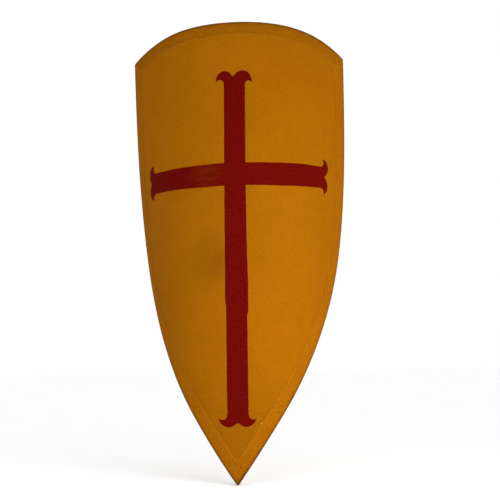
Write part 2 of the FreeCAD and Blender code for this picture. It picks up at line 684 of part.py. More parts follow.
RUNS = [
    ("curve", TOP_LEFT), ("curve", TOP_LOBE_L), ("curve", TOP_LOBE_R), ("curve", TOP_RIGHT),
    ("lines", [(25.2, 737.6), (24.6, 700.0), (23.6, 590.2), (85.0, 590.0), (137.0, 590.2), (174.0, 588.6)]),
    ("curve", RIGHT_TOP), ("curve", RIGHT_LOBE_T), ("curve", RIGHT_LOBE_B), ("curve", RIGHT_BOT),
    ("lines", [(173.6, 548.0), (136.0, 547.5), (85.0, 546.8), (23.4, 547.8), (23.6, 430.0), (24.6, 372.0), (24.4, 313.0), (22.2, 308.5), (21.7, 130.0)]),
    ("curve", FOOT_RIGHT), ("curve", FOOT_LOBE_R), ("curve", FOOT_LOBE_L), ("curve", FOOT_LEFT),
    ("lines", [(-17.3, 130.0), (-16.9, 326.0), (-18.4, 331.0), (-17.9, 400.0), (-16.7, 547.6), (-58.0, 547.2), (-113.0, 548.2), (-173.0, 548.2)]),
    ("curve", LEFT_BOT), ("curve", LEFT_LOBE_B), ("curve", LEFT_LOBE_T), ("curve", LEFT_TOP),
    ("lines", [(-174.5, 587.7), (-113.0, 588.8), (-57.0, 589.6), (-16.4, 590.4), (-15.2, 690.0), (-14.8, 738.0)]),
]
cross_items = []
for kind, pts in RUNS:
    uv = [flat(*q) for q in pts]
    if kind == "curve":
        c = Part.BSplineCurve()
        c.interpolate([V(x, y, 0) for x, y in uv])
        cross_items.append(("curve", c, (1, 2)))
    else:
        cross_items += [line_item(a, b) for a, b in zip(uv[:-1], uv[1:])]
frame_items = polygon_items([(-400.0, 40.0), (400.0, 40.0), (400.0, 840.0), (-400.0, 840.0)])
through_cut(cross, "paint_edge", [frame_items, cross_items], "XZ_Plane")
cross.Placement = FreeCAD.Placement(SHIFT, FreeCAD.Rotation())
keep(cross, "painted_cross")

# ---------------------------------------------------------------- forearm strap, in two halves, with its buckle
RISE = dim("forearm_rise")
FL = dim("flank_angle")
BAR = dim("bar_radius")
PIV = dim("pivot_clearance")
HINGE_UP = 12.0  # pivot bar, up the strap from its middle
LOW_MID = RISE - LOW_STEP
FOLD_R = BAR + PIV + T / 2
HINGE_OUT = LOW_MID - FOLD_R
FAR_RUN = 24.0
FAR_OUT = RISE + T / 2 + 0.7 + BAR
TILT = degrees(atan2(FAR_OUT - HINGE_OUT, FAR_RUN))
FRAME_LEN = sqrt(FAR_RUN**2 + (FAR_OUT - HINGE_OUT) ** 2)
TONGUE_END = -34.0

# upper half: from its riveted foot up the flank, over the crown and down to its tongue
upper, _ = ribbon_body(
    "forearm_strap_upper",
    (FORE_UP + fore_foot + FORE_PAD, BASE),
    180.0,
    [("L", FORE_PAD), ("A", R_FOOT, -FL), ("L", fore_flank), ("A", R_CROWN, FL), ("L", FORE_UP - TONGUE_END)],
    T,
    "forearm_strap_width",
    "strap_thickness",
)
W = dim("forearm_strap_width")
# rounded tongue tip and foot corners
tip = [(TONGUE_END - 1, W / 2 + 1), (TONGUE_END + 13, W / 2 + 1), (TONGUE_END + 13, W / 2), (TONGUE_END + 4, W / 2 - 5), (TONGUE_END, W / 2 - 12), (TONGUE_END - 1, W / 2 - 12)]
through_cut(upper, "tongue_corner_a", [polygon_items(tip)])
through_cut(upper, "tongue_corner_b", [polygon_items([(x, -y) for x, y in tip[::-1]])])
punch(upper, "upper_rivet_holes", [(FORE_UP + fore_foot + e, 0.0, BORE) for e in (10.0, 30.0)], HOLE)
punch(upper, "tongue_holes", [(-4.0, 0.0, 2.4), (-17.0, 0.0, 2.4), (31.0 + FORE_UP * 0, 0.0, 2.4)], None)

# the hole in use, worn long by the prong
PR = dim("prong_radius")
PRONG_OFF = BAR + PIV + PR


def prong_reach(lift):
    """How far up the strap the prong crosses the tongue's leather, for a lift in degrees over its rest."""
    t = radians(TILT + lift)
    lo = RISE - T / 2 - HINGE_OUT
    hi = RISE + T / 2 - HINGE_OUT
    xs = []
    for h in (lo, hi):
        along = (h - PRONG_OFF * cos(t)) / sin(t)
        xs.append(along * cos(t) - PRONG_OFF * sin(t))
    side = PR / sin(t)
    return min(xs) - side, max(xs) + side


PRONG_LIFT = 30.0
FRAME_LIFT = 6.0
slot_lo = min(prong_reach(a)[0] for a in (0.0, 10.0, 20.0, PRONG_LIFT, PRONG_LIFT + FRAME_LIFT + 1)) - 0.5
slot_hi = prong_reach(0.0)[1] + 0.6
through_cut(upper, "worn_hole", [slot_items(HINGE_UP + slot_lo, HINGE_UP + slot_hi, PR + 0.7)])
upper.Placement = place(FORE, dim("forearm_level"))

# lower half: from its riveted foot up the flank and over the crown, folded round the pivot bar and back
FOLD_BACK = 20.0
shift = 2 * FOLD_R - T - 0.1
bend = radians(28.0)
ramp = (shift - 2 * 9.0 * (1 - cos(bend))) / sin(bend)
lower, _ = ribbon_body(
    "forearm_strap_lower",
    (-(FORE_LOW + low_foot + FORE_PAD), BASE),
    0.0,
    [
        ("L", FORE_PAD),
        ("A", R_FOOT, FL),
        ("L", low_flank),
        ("A", R_CROWN, -FL),
        ("L", FORE_LOW + HINGE_UP),
        ("A", FOLD_R, -180.0),
        ("L", 3.0),
        ("A", 9.0, -28.0),
        ("L", ramp),
        ("A", 9.0, 28.0),
        ("L", 10.0),
    ],
    T,
    "forearm_strap_width",
    "strap_thickness",
)
punch(lower, "lower_rivet_holes", [(-(FORE_LOW + low_foot + e), 0.0, BORE) for e in (10.0, 30.0)], HOLE)
through_cut(lower, "prong_slot", [polygon_items([(HINGE_UP - 8.5, -2.3), (HINGE_UP + 9.0, -2.3), (HINGE_UP + 9.0, 2.3), (HINGE_UP - 8.5, 2.3)])])
lower.Placement = place(FORE, dim("forearm_level"))

# small rivets that close the fold
CLOSE_UP = HINGE_UP - 3.0 - 2 * 9.0 * sin(bend) - ramp * cos(bend) - 5.0
CLOSE_LOW = LOW_MID - T / 2 - 0.1 - T
close_top = LOW_MID + T / 2
fold_rivets = []
for y in (-9.0, 9.0):
    shank = Part.makeCylinder(1.5, close_top - CLOSE_LOW + 0.1, V(CLOSE_UP, y, CLOSE_LOW - 0.1))
    head = Part.makeCone(3.0, 2.2, 0.9, V(CLOSE_UP, y, CLOSE_LOW - 0.95), V(0, 0, 1))
    fold_rivets.append(shank.fuse(head).removeSplitter())
feature("fold_rivets", Part.makeCompound(fold_rivets), place(FORE, dim("forearm_level")))
punch(lower, "fold_rivet_holes", [(CLOSE_UP, -9.0, 1.55), (CLOSE_UP, 9.0, 1.55)], None)

# keeper: a leather loop round both halves
keeper = doc.addObject("PartDesign::Body", "forearm_strap_keeper")
KEEP_UP = -21.5
sk = new_sketch(keeper, "keeper_section", "YZ_Plane")
ylo, yhi = -(W / 2 + 0.35), W / 2 + 0.35
zlo, zhi = LOW_MID - T / 2 - 0.3, RISE + T / 2 + 0.3
KT = 1.9
sketch_loop(sk, polygon_items([(ylo - KT, zlo - KT), (yhi + KT, zlo - KT), (yhi + KT, zhi + KT), (ylo - KT, zhi + KT)]))
sketch_loop(sk, polygon_items([(ylo, zlo), (yhi, zlo), (yhi, zhi), (ylo, zhi)]))
pad = keeper.newObject("PartDesign::Pad", "keeper_band")
pad.Profile = sk
pad.Length = 9.0
symmetric(pad)
keeper.Placement = place(FORE, dim("forearm_level"), up=KEEP_UP)
keep(keeper, "forearm_strap_keeper")


# buckle frame: one closed loop of round wire; its pivot bar lies on the local y axis
def wire_loop(label, path_items, profile_at, wire_cell, wire_r):
    body = doc.addObject("PartDesign::Body", label)
    path = new_sketch(body, label + "_path", "XY_Plane")
    sketch_loop(path, path_items)
    prof = new_sketch(body, label + "_wire", "XZ_Plane")
    g = prof.addGeometry(Part.Circle(V(profile_at, 0, 0), V(0, 0, 1), wire_r), False)
    c = prof.addConstraint(Sketcher.Constraint("Radius", g, wire_r))
    prof.renameConstraint(c, "wire")
    prof.setExpression("Constraints.wire", "Dims." + wire_cell)
    pipe = body.newObject("PartDesign::AdditivePipe", label + "_loop")
    pipe.Profile = prof
    pipe.Spine = path
    doc.recompute()
    return keep(body, label)


def arc_item(cx, cy, r, a0, a1):
    """An arc from angle a0 to a1, in degrees, either way round."""
    lo, hi = min(a0, a1), max(a0, a1)
    geo = Part.ArcOfCircle(Part.Circle(V(cx, cy, 0), V(0, 0, 1), r), radians(lo), radians(hi))
    return ("arc", geo, (1, 2) if a1 > a0 else (2, 1))


YB = dim("buckle_inner") / 2 + BAR
RC, RH = 4.2, 2.6
L = FRAME_LEN
buckle_path = [
    line_item((L, 0), (L, YB - RC)),
    arc_item(L - RC, YB - RC, RC, 0, 90),
    line_item((L - RC, YB), (RH, YB)),
    arc_item(RH, YB - RH, RH, 90, 180),
    line_item((0, YB - RH), (0, -(YB - RH))),
    arc_item(RH, -(YB - RH), RH, 180, 270),
    line_item((RH, -YB), (L - RC, -YB)),
    arc_item(L - RC, -(YB - RC), RC, 270, 360),
    line_item((L, -(YB - RC)), (L, 0)),
]
frame = wire_loop("buckle_frame", buckle_path, L, "bar_radius", BAR)
frame.Placement = place(FORE, dim("forearm_level"), up=HINGE_UP, out=HINGE_OUT, turn=-TILT)

# prong: an eye round the pivot bar and a tapering finger that rests on the far bar
eye = doc.addObject("Part::Torus", "prong_eye")
eye.setExpression("Radius1", "Dims.bar_radius + Dims.pivot_clearance + Dims.prong_radius")
eye.setExpression("Radius2", "Dims.prong_radius")
eye.Placement = FreeCAD.Placement(V(0, 0, 0), FreeCAD.Rotation(V(1, 0, 0), 90))
finger = doc.addObject("Part::Cone", "prong_finger")
finger.setExpression("Radius1", "Dims.prong_radius * 0.93")
finger.setExpression("Radius2", "Dims.prong_radius * 0.8")
finger.Height = FRAME_LEN + 2.0
finger.Placement = FreeCAD.Placement(V(-0.5, 0, PRONG_OFF), FreeCAD.Rotation(V(0, 1, 0), 90))
nose = doc.addObject("Part::Sphere", "prong_nose")
nose.setExpression("Radius", "Dims.prong_radius * 0.79")
nose.Placement = FreeCAD.Placement(V(FRAME_LEN + 1.3, 0, PRONG_OFF), FreeCAD.Rotation())
prong = doc.addObject("Part::MultiFuse", "buckle_prong")
prong.Shapes = [eye, finger, nose]
doc.recompute()
if len(prong.Shape.Solids) != 1 or prong.Shape.Volume < eye.Shape.Volume + 0.85 * finger.Shape.Volume:
    raise RuntimeError("the prong's pieces did not join")
prong.Placement = place(FORE, dim("forearm_level"), up=HINGE_UP, out=HINGE_OUT, turn=-TILT)
keep(prong, "buckle_prong")

# ---------------------------------------------------------------- hand strap
HFL = dim("hand_flank_angle")
hand, _ = ribbon_body(
    "hand_strap",
    (hand_foot + HAND_PAD, BASE),
    180.0,
    [
        ("L", HAND_PAD), ("A", R_FOOT, -HFL), ("L", hand_flank), ("A", R_HAND, HFL), ("L", 2 * HAND_CROWN),
        ("A", R_HAND, HFL), ("L", hand_flank), ("A", R_FOOT, -HFL), ("L", HAND_PAD),
    ],
    T,
    "hand_strap_width",
    "strap_thickness",
)
punch(hand, "hand_rivet_holes", [(sgn * (hand_foot + 0.9 * e), 0.0, BORE) for e in (10.0, 30.0) for sgn in (1, -1)], HOLE)
hand.Placement = place(HAND, dim("hand_level"))


# ---------------------------------------------------------------- rivets and roves
def dome(r, base, height):
    """A solid round cap: flat side of radius r at height base, rising by height on the axis."""
    big = (r * r + height * height) / (2 * height)
    ball = Part.makeSphere(big, V(0, 0, base + height - big))
    return ball.common(Part.makeCylinder(big + 1, height + 1, V(0, 0, base))).Solids[0]


def joined(pieces, what):
    out = pieces[0].fuse(pieces[1:]).removeSplitter()
    if len(out.Solids) != 1 or not out.isValid():
        raise RuntimeError("pieces did not join: " + what)
    return out.Solids[0]


def rivet(top, sink=0.0):
    """Flush head under the canvas, shank through the board and the leather, clenched dome over the rove."""
    hr, sr = dim("head_radius"), dim("shank_radius")
    zf = -(BACK - P1) + 0.10 + sink
    rt = dim("rove_thickness")
    dome_r, dome_h = 4.2, 2.0
    z1 = top + 0.05 + rt + 0.02
    cone = hr - sr
    return joined(
        [
            Part.makeCylinder(hr, 0.3, V(0, 0, zf)),
            Part.makeCone(hr, sr, cone, V(0, 0, zf + 0.3), V(0, 0, 1)),
            Part.makeCylinder(sr, z1 - zf - 0.3 - cone, V(0, 0, zf + 0.3 + cone)),
            dome(dome_r, z1, dome_h),
        ],
        "rivet",
    )


def rove(top):
    rr, rt = dim("rove_radius"), dim("rove_thickness")
    ring = Part.makeCylinder(rr, rt, V(0, 0, top + 0.05)).cut(Part.makeCylinder(BORE, rt + 2, V(0, 0, top - 1)))
    rim = [e for e in ring.Edges if abs(e.BoundBox.ZMax - (top + 0.05 + rt)) < 1e-6 and e.BoundBox.ZLength < 1e-6 and e.Length > 2 * pi * rr * 0.98]
    return ring.makeChamfer(0.4, rim)


def group(label, make, places, top):
    out = []
    for angle, z, up, round_, level in places:
        s = make(top).copy()
        pl = place(angle, z, up=up, round_=round_, level=level)
        s.Placement = FreeCAD.Placement(SHIFT.negative(), FreeCAD.Rotation()).multiply(pl)
        out.append(s)
    return feature(label, Part.makeCompound(out))


STRAP_TOP = BASE + T / 2
group("strap_rivets", rivet, STRAP_RIVETS, STRAP_TOP)
group("strap_roves", rove, STRAP_RIVETS, STRAP_TOP)

# ---------------------------------------------------------------- ring tabs and rings for a shoulder strap
TT = dim("tab_thickness")
RW = dim("ring_wire")
TFOLD = RW + PIV + TT / 2
TBASE = 0.70 + CLEAR + TT / 2
tshift = 2 * TFOLD - TT - 0.1
tramp = (tshift - 2 * 8.0 * (1 - cos(radians(30.0)))) / sin(radians(30.0))
PIVOT_OUT = TBASE + TFOLD
flat_end = 34.0
run = 2.0 + 2 * 8.0 * sin(radians(30.0)) + tramp * cos(radians(30.0))
TAB_TOP = TBASE + TT + 0.1 + TT / 2
# the way down, in the local axes of a tab: the rings hang plumb at rest
_p, _a, _c, _b = frame_at(TAB, dim("tab_level"), True)
DOWN = V(0, 0, -1)
PLUMB = degrees(atan2(DOWN.dot(_b), -DOWN.dot(_a)))
for name, sgn in (("left", -1), ("right", 1)):
    tab, _ = ribbon_body(
        "guige_tab_" + name,
        (flat_end, TBASE),
        180.0,
        [("L", flat_end), ("A", TFOLD, -180.0), ("L", 2.0), ("A", 8.0, -30.0), ("L", tramp), ("A", 8.0, 30.0), ("L", flat_end - run - 1.0)],
        TT,
        "tab_width",
        "tab_thickness",
    )
    punch(tab, "tab_rivet_holes_" + name, [(24.0, 7.0, BORE), (24.0, -7.0, BORE)], HOLE)
    tab.Placement = place(sgn * TAB, dim("tab_level"), level=True)

    half = dim("ring_span") / 2
    dr = dim("ring_drop")
    rk = 3.4
    ring_path = [
        line_item((0, 0), (0, half - rk)),
        arc_item(-rk, half - rk, rk, 0, 90),
        line_item((-rk, half), (-dr, half)),
        arc_item(-dr, 0, half, 90, 270),
        line_item((-dr, -half), (-rk, -half)),
        arc_item(-rk, -(half - rk), rk, 270, 360),
        line_item((0, -(half - rk)), (0, 0)),
    ]
    ring = wire_loop("guige_ring_" + name, ring_path, 0.0, "ring_wire", RW)
    ring.Placement = place(sgn * TAB, dim("tab_level"), out=PIVOT_OUT, turn=PLUMB, level=True)

group("tab_rivets", lambda top: rivet(top, dim("tab_head_sink")), TAB_RIVETS, TAB_TOP)
group("tab_roves", rove, TAB_RIVETS, TAB_TOP)


# ---------------------------------------------------------------- arm pad
def squircle(u, v):
    return u * sqrt(1 - 0.30 * v * v), v * sqrt(1 - 0.30 * u * u)


def plateau(x):
    """1 over the middle of the pad, 0 on its flange."""
    x = abs(x)
    if x >= 0.86:
        return 0.0
    q = min(1.0, (0.86 - x) / 0.50)
    return q * q * (3 - 2 * q)


def pad_grid(scale, lift, n=18):
    """Points over the pad; lift(u, v) is the height over the lining."""
    pts = []
    for i in range(n + 1):
        v = (-1 + 2 * i / n) * scale
        row = []
        for j in range(n + 1):
            u = (-1 + 2 * j / n) * scale
            a, b = squircle(u, v)
            s = a * dim("pad_half_width") / sqrt(0.70)
            z = dim("pad_level") + b * dim("pad_half_height") / sqrt(0.70)
            row.append(on_board(s, z, BACK + lift(u, v)))
        pts.append(row)
    return pts


PADG = 0.15
LEATHER = dim("pad_leather")
bulge = lambda u, v: dim("pad_bulge") * plateau(u) * plateau(v)
k1 = 0.86
feature("pad_cover", sheet_solid(pad_grid(k1, lambda u, v: PADG + bulge(u, v) + LEATHER), pad_grid(k1, lambda u, v: PADG + bulge(u, v)), "pad cover"))
feature("pad_filling", sheet_solid(pad_grid(0.56, lambda u, v: PADG + bulge(u, v) - 0.4), pad_grid(0.56, lambda u, v: PADG), "pad filling"))


# ---------------------------------------------------------------- tacks
def tack(head, height, seat, depth):
    """A domed tack: its head sits at height seat over the lining, its shank goes depth below the lining."""
    sr = dim("tack_shank")
    return joined(
        [dome(head, seat, height), Part.makeCylinder(sr, seat + depth - 1.5, V(0, 0, 1.5 - depth)), Part.makeCone(0.05, sr, 1.5, V(0, 0, -depth), V(0, 0, 1))],
        "tack",
    )


def tack_group(label, spots, head, height, seat, depth):
    out = []
    for s, z in spots:
        t = tack(head, height, seat, depth)
        pl = place(s / radius(z), z)
        t.Placement = FreeCAD.Placement(SHIFT.negative(), FreeCAD.Rotation()).multiply(pl)
        out.append(t)
    return feature(label, Part.makeCompound(out))


pad_spots = []
for i in range(6):
    q = -0.80 + 1.60 * i / 5
    pad_spots += [(q * 0.86, 0.86 * 0.935), (q * 0.86, -0.86 * 0.935)]
for i in range(5):
    q = -0.62 + 1.24 * i / 4
    pad_spots += [(0.86 * 0.945, q * 0.86), (-0.86 * 0.945, q * 0.86)]
spots = []
for u, v in pad_spots:
    a, b = squircle(u, v)
    spots.append((a * dim("pad_half_width") / sqrt(0.70), dim("pad_level") + b * dim("pad_half_height") / sqrt(0.70)))
tack_group("pad_tacks", spots, dim("tack_head"), 2.2, PADG + LEATHER + 0.05, 5.2)

# tacks along the back flange of the binding
spots = []
IN = 19.0
side_z = [110.0 + i * (770.0 - 110.0) / 11 for i in range(12)]
for z in side_z:
    s, zz = side_in(z * H / 860, IN)
    spots += [(s, zz), (-s, zz)]
for s0 in (-186.0, -146.0, -108.0, -86.0, -52.0, -17.0, 17.0, 52.0, 86.0, 119.0, 152.0, 186.0):
    spots.append(top_in(s0, IN))
for z in (52.0,):
    s, zz = side_in(z * H / 860, IN)
    spots += [(s, zz), (-s, zz)]
tack_group("binding_tacks", spots, 3.2, 1.6, GL + BIND + 0.05, 5.0)

# ---------------------------------------------------------------- checks, then one file per piece
doc.recompute()
for o in doc.Objects:
    bad = [x for x in o.State if x in ("Invalid", "Error")]
    if bad:
        raise RuntimeError("%s is %s" % (o.Label, bad))
for o in NODES:
    s = o.Shape
    if s.isNull() or not s.isValid() or not s.Solids:
        raise RuntimeError("bad shape: " + o.Label)

os.makedirs("parts", exist_ok=True)
for o in NODES:
    o.Shape.exportStep(os.path.join("parts", o.Label + ".step"))

box = FreeCAD.BoundBox()
for o in NODES:
    b = o.Shape.BoundBox
    box.add(b)
    print("%-22s %2d solid(s) %11.1f mm3  x %7.1f..%7.1f  y %7.1f..%7.1f  z %7.1f..%7.1f" % (
        o.Label, len(o.Shape.Solids), o.Shape.Volume, b.XMin, b.XMax, b.YMin, b.YMax, b.ZMin, b.ZMax))
print("whole: x %.1f..%.1f  y %.1f..%.1f  z %.1f..%.1f" % (box.XMin, box.XMax, box.YMin, box.YMax, box.ZMin, box.ZMax))


def say(name, v):
    print(name, [round(v.x / 1000, 6), round(v.y / 1000, 6), round(v.z / 1000, 6)])


print("origin in board coordinates", [round(c, 3) for c in (ORIGIN.x, ORIGIN.y, ORIGIN.z)])
p, a, c, b = frame_at(FORE, dim("forearm_level"))
say("buckle pivot", p + a * HINGE_UP + b * HINGE_OUT + SHIFT)
print("  axis", [round(x, 6) for x in (c.x, c.y, c.z)], "tilt", round(TILT, 2))
for sgn in (-1, 1):
    p, a, c, b = frame_at(sgn * TAB, dim("tab_level"), True)
    say("ring pivot", p + b * PIVOT_OUT + SHIFT)
    print("  axis", [round(x, 6) for x in (c.x, c.y, c.z)], "plumb", round(PLUMB, 2))
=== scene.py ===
import bpy
import bmesh
import math
import random
import numpy as np
from mathutils import Matrix, Vector, geometry, noise
from mathutils.bvhtree import BVHTree


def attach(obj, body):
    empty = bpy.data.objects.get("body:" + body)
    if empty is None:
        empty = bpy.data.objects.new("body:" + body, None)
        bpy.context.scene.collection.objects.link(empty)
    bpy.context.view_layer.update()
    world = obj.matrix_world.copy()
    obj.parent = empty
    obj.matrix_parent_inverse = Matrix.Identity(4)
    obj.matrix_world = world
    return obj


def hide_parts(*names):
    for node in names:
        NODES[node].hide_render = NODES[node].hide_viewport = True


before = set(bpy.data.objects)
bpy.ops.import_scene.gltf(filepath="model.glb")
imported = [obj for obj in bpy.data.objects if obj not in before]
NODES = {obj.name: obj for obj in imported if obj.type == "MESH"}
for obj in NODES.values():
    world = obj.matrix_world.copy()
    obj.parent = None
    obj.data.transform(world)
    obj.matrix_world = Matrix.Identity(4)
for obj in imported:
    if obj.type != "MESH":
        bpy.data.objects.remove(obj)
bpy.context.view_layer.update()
MM = 0.001
scene = bpy.context.scene
scene.view_settings.view_transform = "Standard"

# =====================================================================================================
# The board, in millimetres: arc s round the face from its centre line, height z over the point, depth o
# behind the canvas face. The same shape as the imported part.
# =====================================================================================================
H = 860.0
LEVELS = [0.0, 43.0, 94.6, 154.8, 223.6, 301.0, 378.4, 455.8, 533.2, 610.6, 688.0, 774.0]
ARCS = [0.0, 30.3, 66.2, 108.7, 152.5, 194.9, 225.6, 241.1, 246.0, 246.0, 243.0, 238.8]
R_MID, R_GROW = 206.8, 69.2
BACK = 10.1


def spline(xs, ys):
    n = len(xs)
    a, b, c, r = [0.0] * n, [1.0] * n, [0.0] * n, [0.0] * n
    for i in range(1, n - 1):
        h0, h1 = xs[i] - xs[i - 1], xs[i + 1] - xs[i]
        a[i], b[i], c[i] = h0, 2 * (h0 + h1), h1
        r[i] = 6 * ((ys[i + 1] - ys[i]) / h1 - (ys[i] - ys[i - 1]) / h0)
    for i in range(1, n):
        f = a[i] / b[i - 1]
        b[i] -= f * c[i - 1]
        r[i] -= f * r[i - 1]
    m = [0.0] * n
    m[-1] = r[-1] / b[-1]
    for i in range(n - 2, -1, -1):
        m[i] = (r[i] - c[i] * m[i + 1]) / b[i]

    def at(x):
        i = 0
        while i < n - 2 and x > xs[i + 1]:
            i += 1
        h = xs[i + 1] - xs[i]
        p, q = (xs[i + 1] - x) / h, (x - xs[i]) / h
        y = p * ys[i] + q * ys[i + 1] + ((p**3 - p) * m[i] + (q**3 - q) * m[i + 1]) * h * h / 6
        d = (ys[i + 1] - ys[i]) / h + ((1 - 3 * p * p) * m[i] + (3 * q * q - 1) * m[i + 1]) * h / 6
        return y, d

    return at


half_arc = spline(LEVELS, ARCS)


def crown(s):
    q = (s / 223.6) ** 2
    lift = max(0.0, (-s - 146.0) / 92.0)
    return H - 21.5 * q - 40.1 * q * q + 14.8 * q**3 + 11.2 * lift**2


def crown_slope(s):
    q = (s / 223.6) ** 2
    lift = max(0.0, (-s - 146.0) / 92.0)
    return -(21.5 + 80.2 * q - 44.4 * q * q) * 2 * s / 223.6**2 - 2 * 11.2 * lift / 92.0


def radius(z):
    return R_MID + R_GROW * (z - 430.0) / 430.0


def on_board(s, z, o):
    r = radius(z)
    t = s / r
    return np.stack([(r - o) * np.sin(t), r - (r - o) * np.cos(t), z + 0 * s], -1)


def side_in(z, d):
    w, k = half_arc(z)
    n = math.sqrt(1 + k * k)
    return w - d / n, z + d * k / n


def top_in(s, d):
    k = crown_slope(s)
    n = math.sqrt(1 + k * k)
    return s + d * k / n, crown(s) - d / n


def root(f, lo, hi, steps=48):
    a = f(lo)
    for _ in range(steps):
        mid = (lo + hi) / 2
        b = f(mid)
        if (a < 0) == (b < 0):
            lo, a = mid, b
        else:
            hi = mid
    return (lo + hi) / 2


def top_height_at(s, d):
    t = root(lambda q: top_in(q, d)[0] - s, 0.0, 300.0 if s > 0 else -300.0) if s else 0.0
    return top_in(t, d)[1]


def corner_exact(d, sign):
    z = root(lambda q: side_in(q, d)[1] - top_height_at(sign * side_in(q, d)[0], d), 700.0, 870.0)
    s = root(lambda q: top_in(q, d)[0] - sign * side_in(z, d)[0], 0.0, sign * 300.0)
    return z, s


CORNER_D = [-1.5, 0.0, 2.0, 6.0, 12.0, 20.0, 28.0]
corner_z, corner_s = {}, {}
for side in (-1, 1):
    found = [corner_exact(d, side) for d in CORNER_D]
    corner_z[side] = spline(CORNER_D, [c[0] for c in found])
    corner_s[side] = spline(CORNER_D, [c[1] for c in found])


def frame_at(angle, z, level=False):
    p = Vector(on_board(np.float64(angle * radius(z)), np.float64(z), BACK))
    g = R_GROW / 430.0
    a = Vector((g * math.sin(angle), g * (1 - math.cos(angle)), 1)).normalized()
    c = Vector((math.cos(angle), math.sin(angle), 0))
    b = a.cross(c).normalized()
    if level:
        a = c.cross(b)
    else:
        c = b.cross(a)
    return p, a, c, b


HAND, FORE, TAB = math.radians(-33.0), math.radians(36.0), math.radians(38.0)
_p, _a, _c, _b = frame_at(HAND, 590.0)
ORIGIN = _p + _b * 22.5
ORIGIN_NP = np.array(ORIGIN)


def row(p):
    """Board millimetres to the row frame's metres."""
    return (np.asarray(p, float) - ORIGIN_NP) * MM


def wave(x, y=0.0, z=0.0, seed=0.0):
    return noise.noise(Vector((x + 13.7 * seed, y - 7.3 * seed, z + 3.1 * seed)))


def fbm(x, y=0.0, z=0.0, seed=0.0, octaves=3):
    return noise.fractal(Vector((x + 13.7 * seed, y - 7.3 * seed, z + 3.1 * seed)), 0.9, 2.1, octaves)


# =====================================================================================================
# Mesh helpers
# =====================================================================================================
def add_attribute(mesh, name, values):
    at = mesh.attributes.new(name, "FLOAT_VECTOR", "POINT")
    at.data.foreach_set("vector", np.asarray(values, np.float32).reshape(-1))


def finish_mesh(mesh, sharp=38.0):
    bm = bmesh.new()
    bm.from_mesh(mesh)
    bmesh.ops.recalc_face_normals(bm, faces=bm.faces)
    lim = math.radians(sharp)
    for f in bm.faces:
        f.smooth = True
    for e in bm.edges:
        if len(e.link_faces) == 2:
            e.smooth = e.calc_face_angle(0.0) < lim
    bm.to_mesh(mesh)
    bm.free()
    mesh.update()


def make(name, verts, faces, body, mat, attributes=None, replaces=(), sharp=38.0):
    mesh = bpy.data.meshes.new(name)
    mesh.from_pydata([tuple(v) for v in verts], [], faces)
    for key, val in (attributes or {}).items():
        add_attribute(mesh, key, val)
    finish_mesh(mesh, sharp)
    obj = bpy.data.objects.new(name, mesh)
    scene.collection.objects.link(obj)
    mesh.materials.append(mat)
    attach(obj, body)
    if replaces:
        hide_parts(*replaces)
    return obj


def grid_faces(rows, cols, start=0, flip=False):
    out = []
    for i in range(rows - 1):
        for j in range(cols - 1):
            a = start + i * cols + j
            q = (a, a + 1, a + cols + 1, a + cols)
            out.append(q[::-1] if flip else q)
    return out


def closed_sheet(front, back):
    """Vertices and faces of a closed sheet between two equal grids of points."""
    n, m = front.shape[:2]
    verts = np.concatenate([front.reshape(-1, 3), back.reshape(-1, 3)])
    k = n * m
    faces = grid_faces(n, m) + grid_faces(n, m, k, True)
    ring = [j for j in range(m)] + [i * m + m - 1 for i in range(1, n)]
    ring += [(n - 1) * m + j for j in range(m - 2, -1, -1)] + [i * m for i in range(n - 2, 0, -1)]
    for a, b in zip(ring, ring[1:] + ring[:1]):
        faces.append((b, a, a + k, b + k))
    return verts, faces


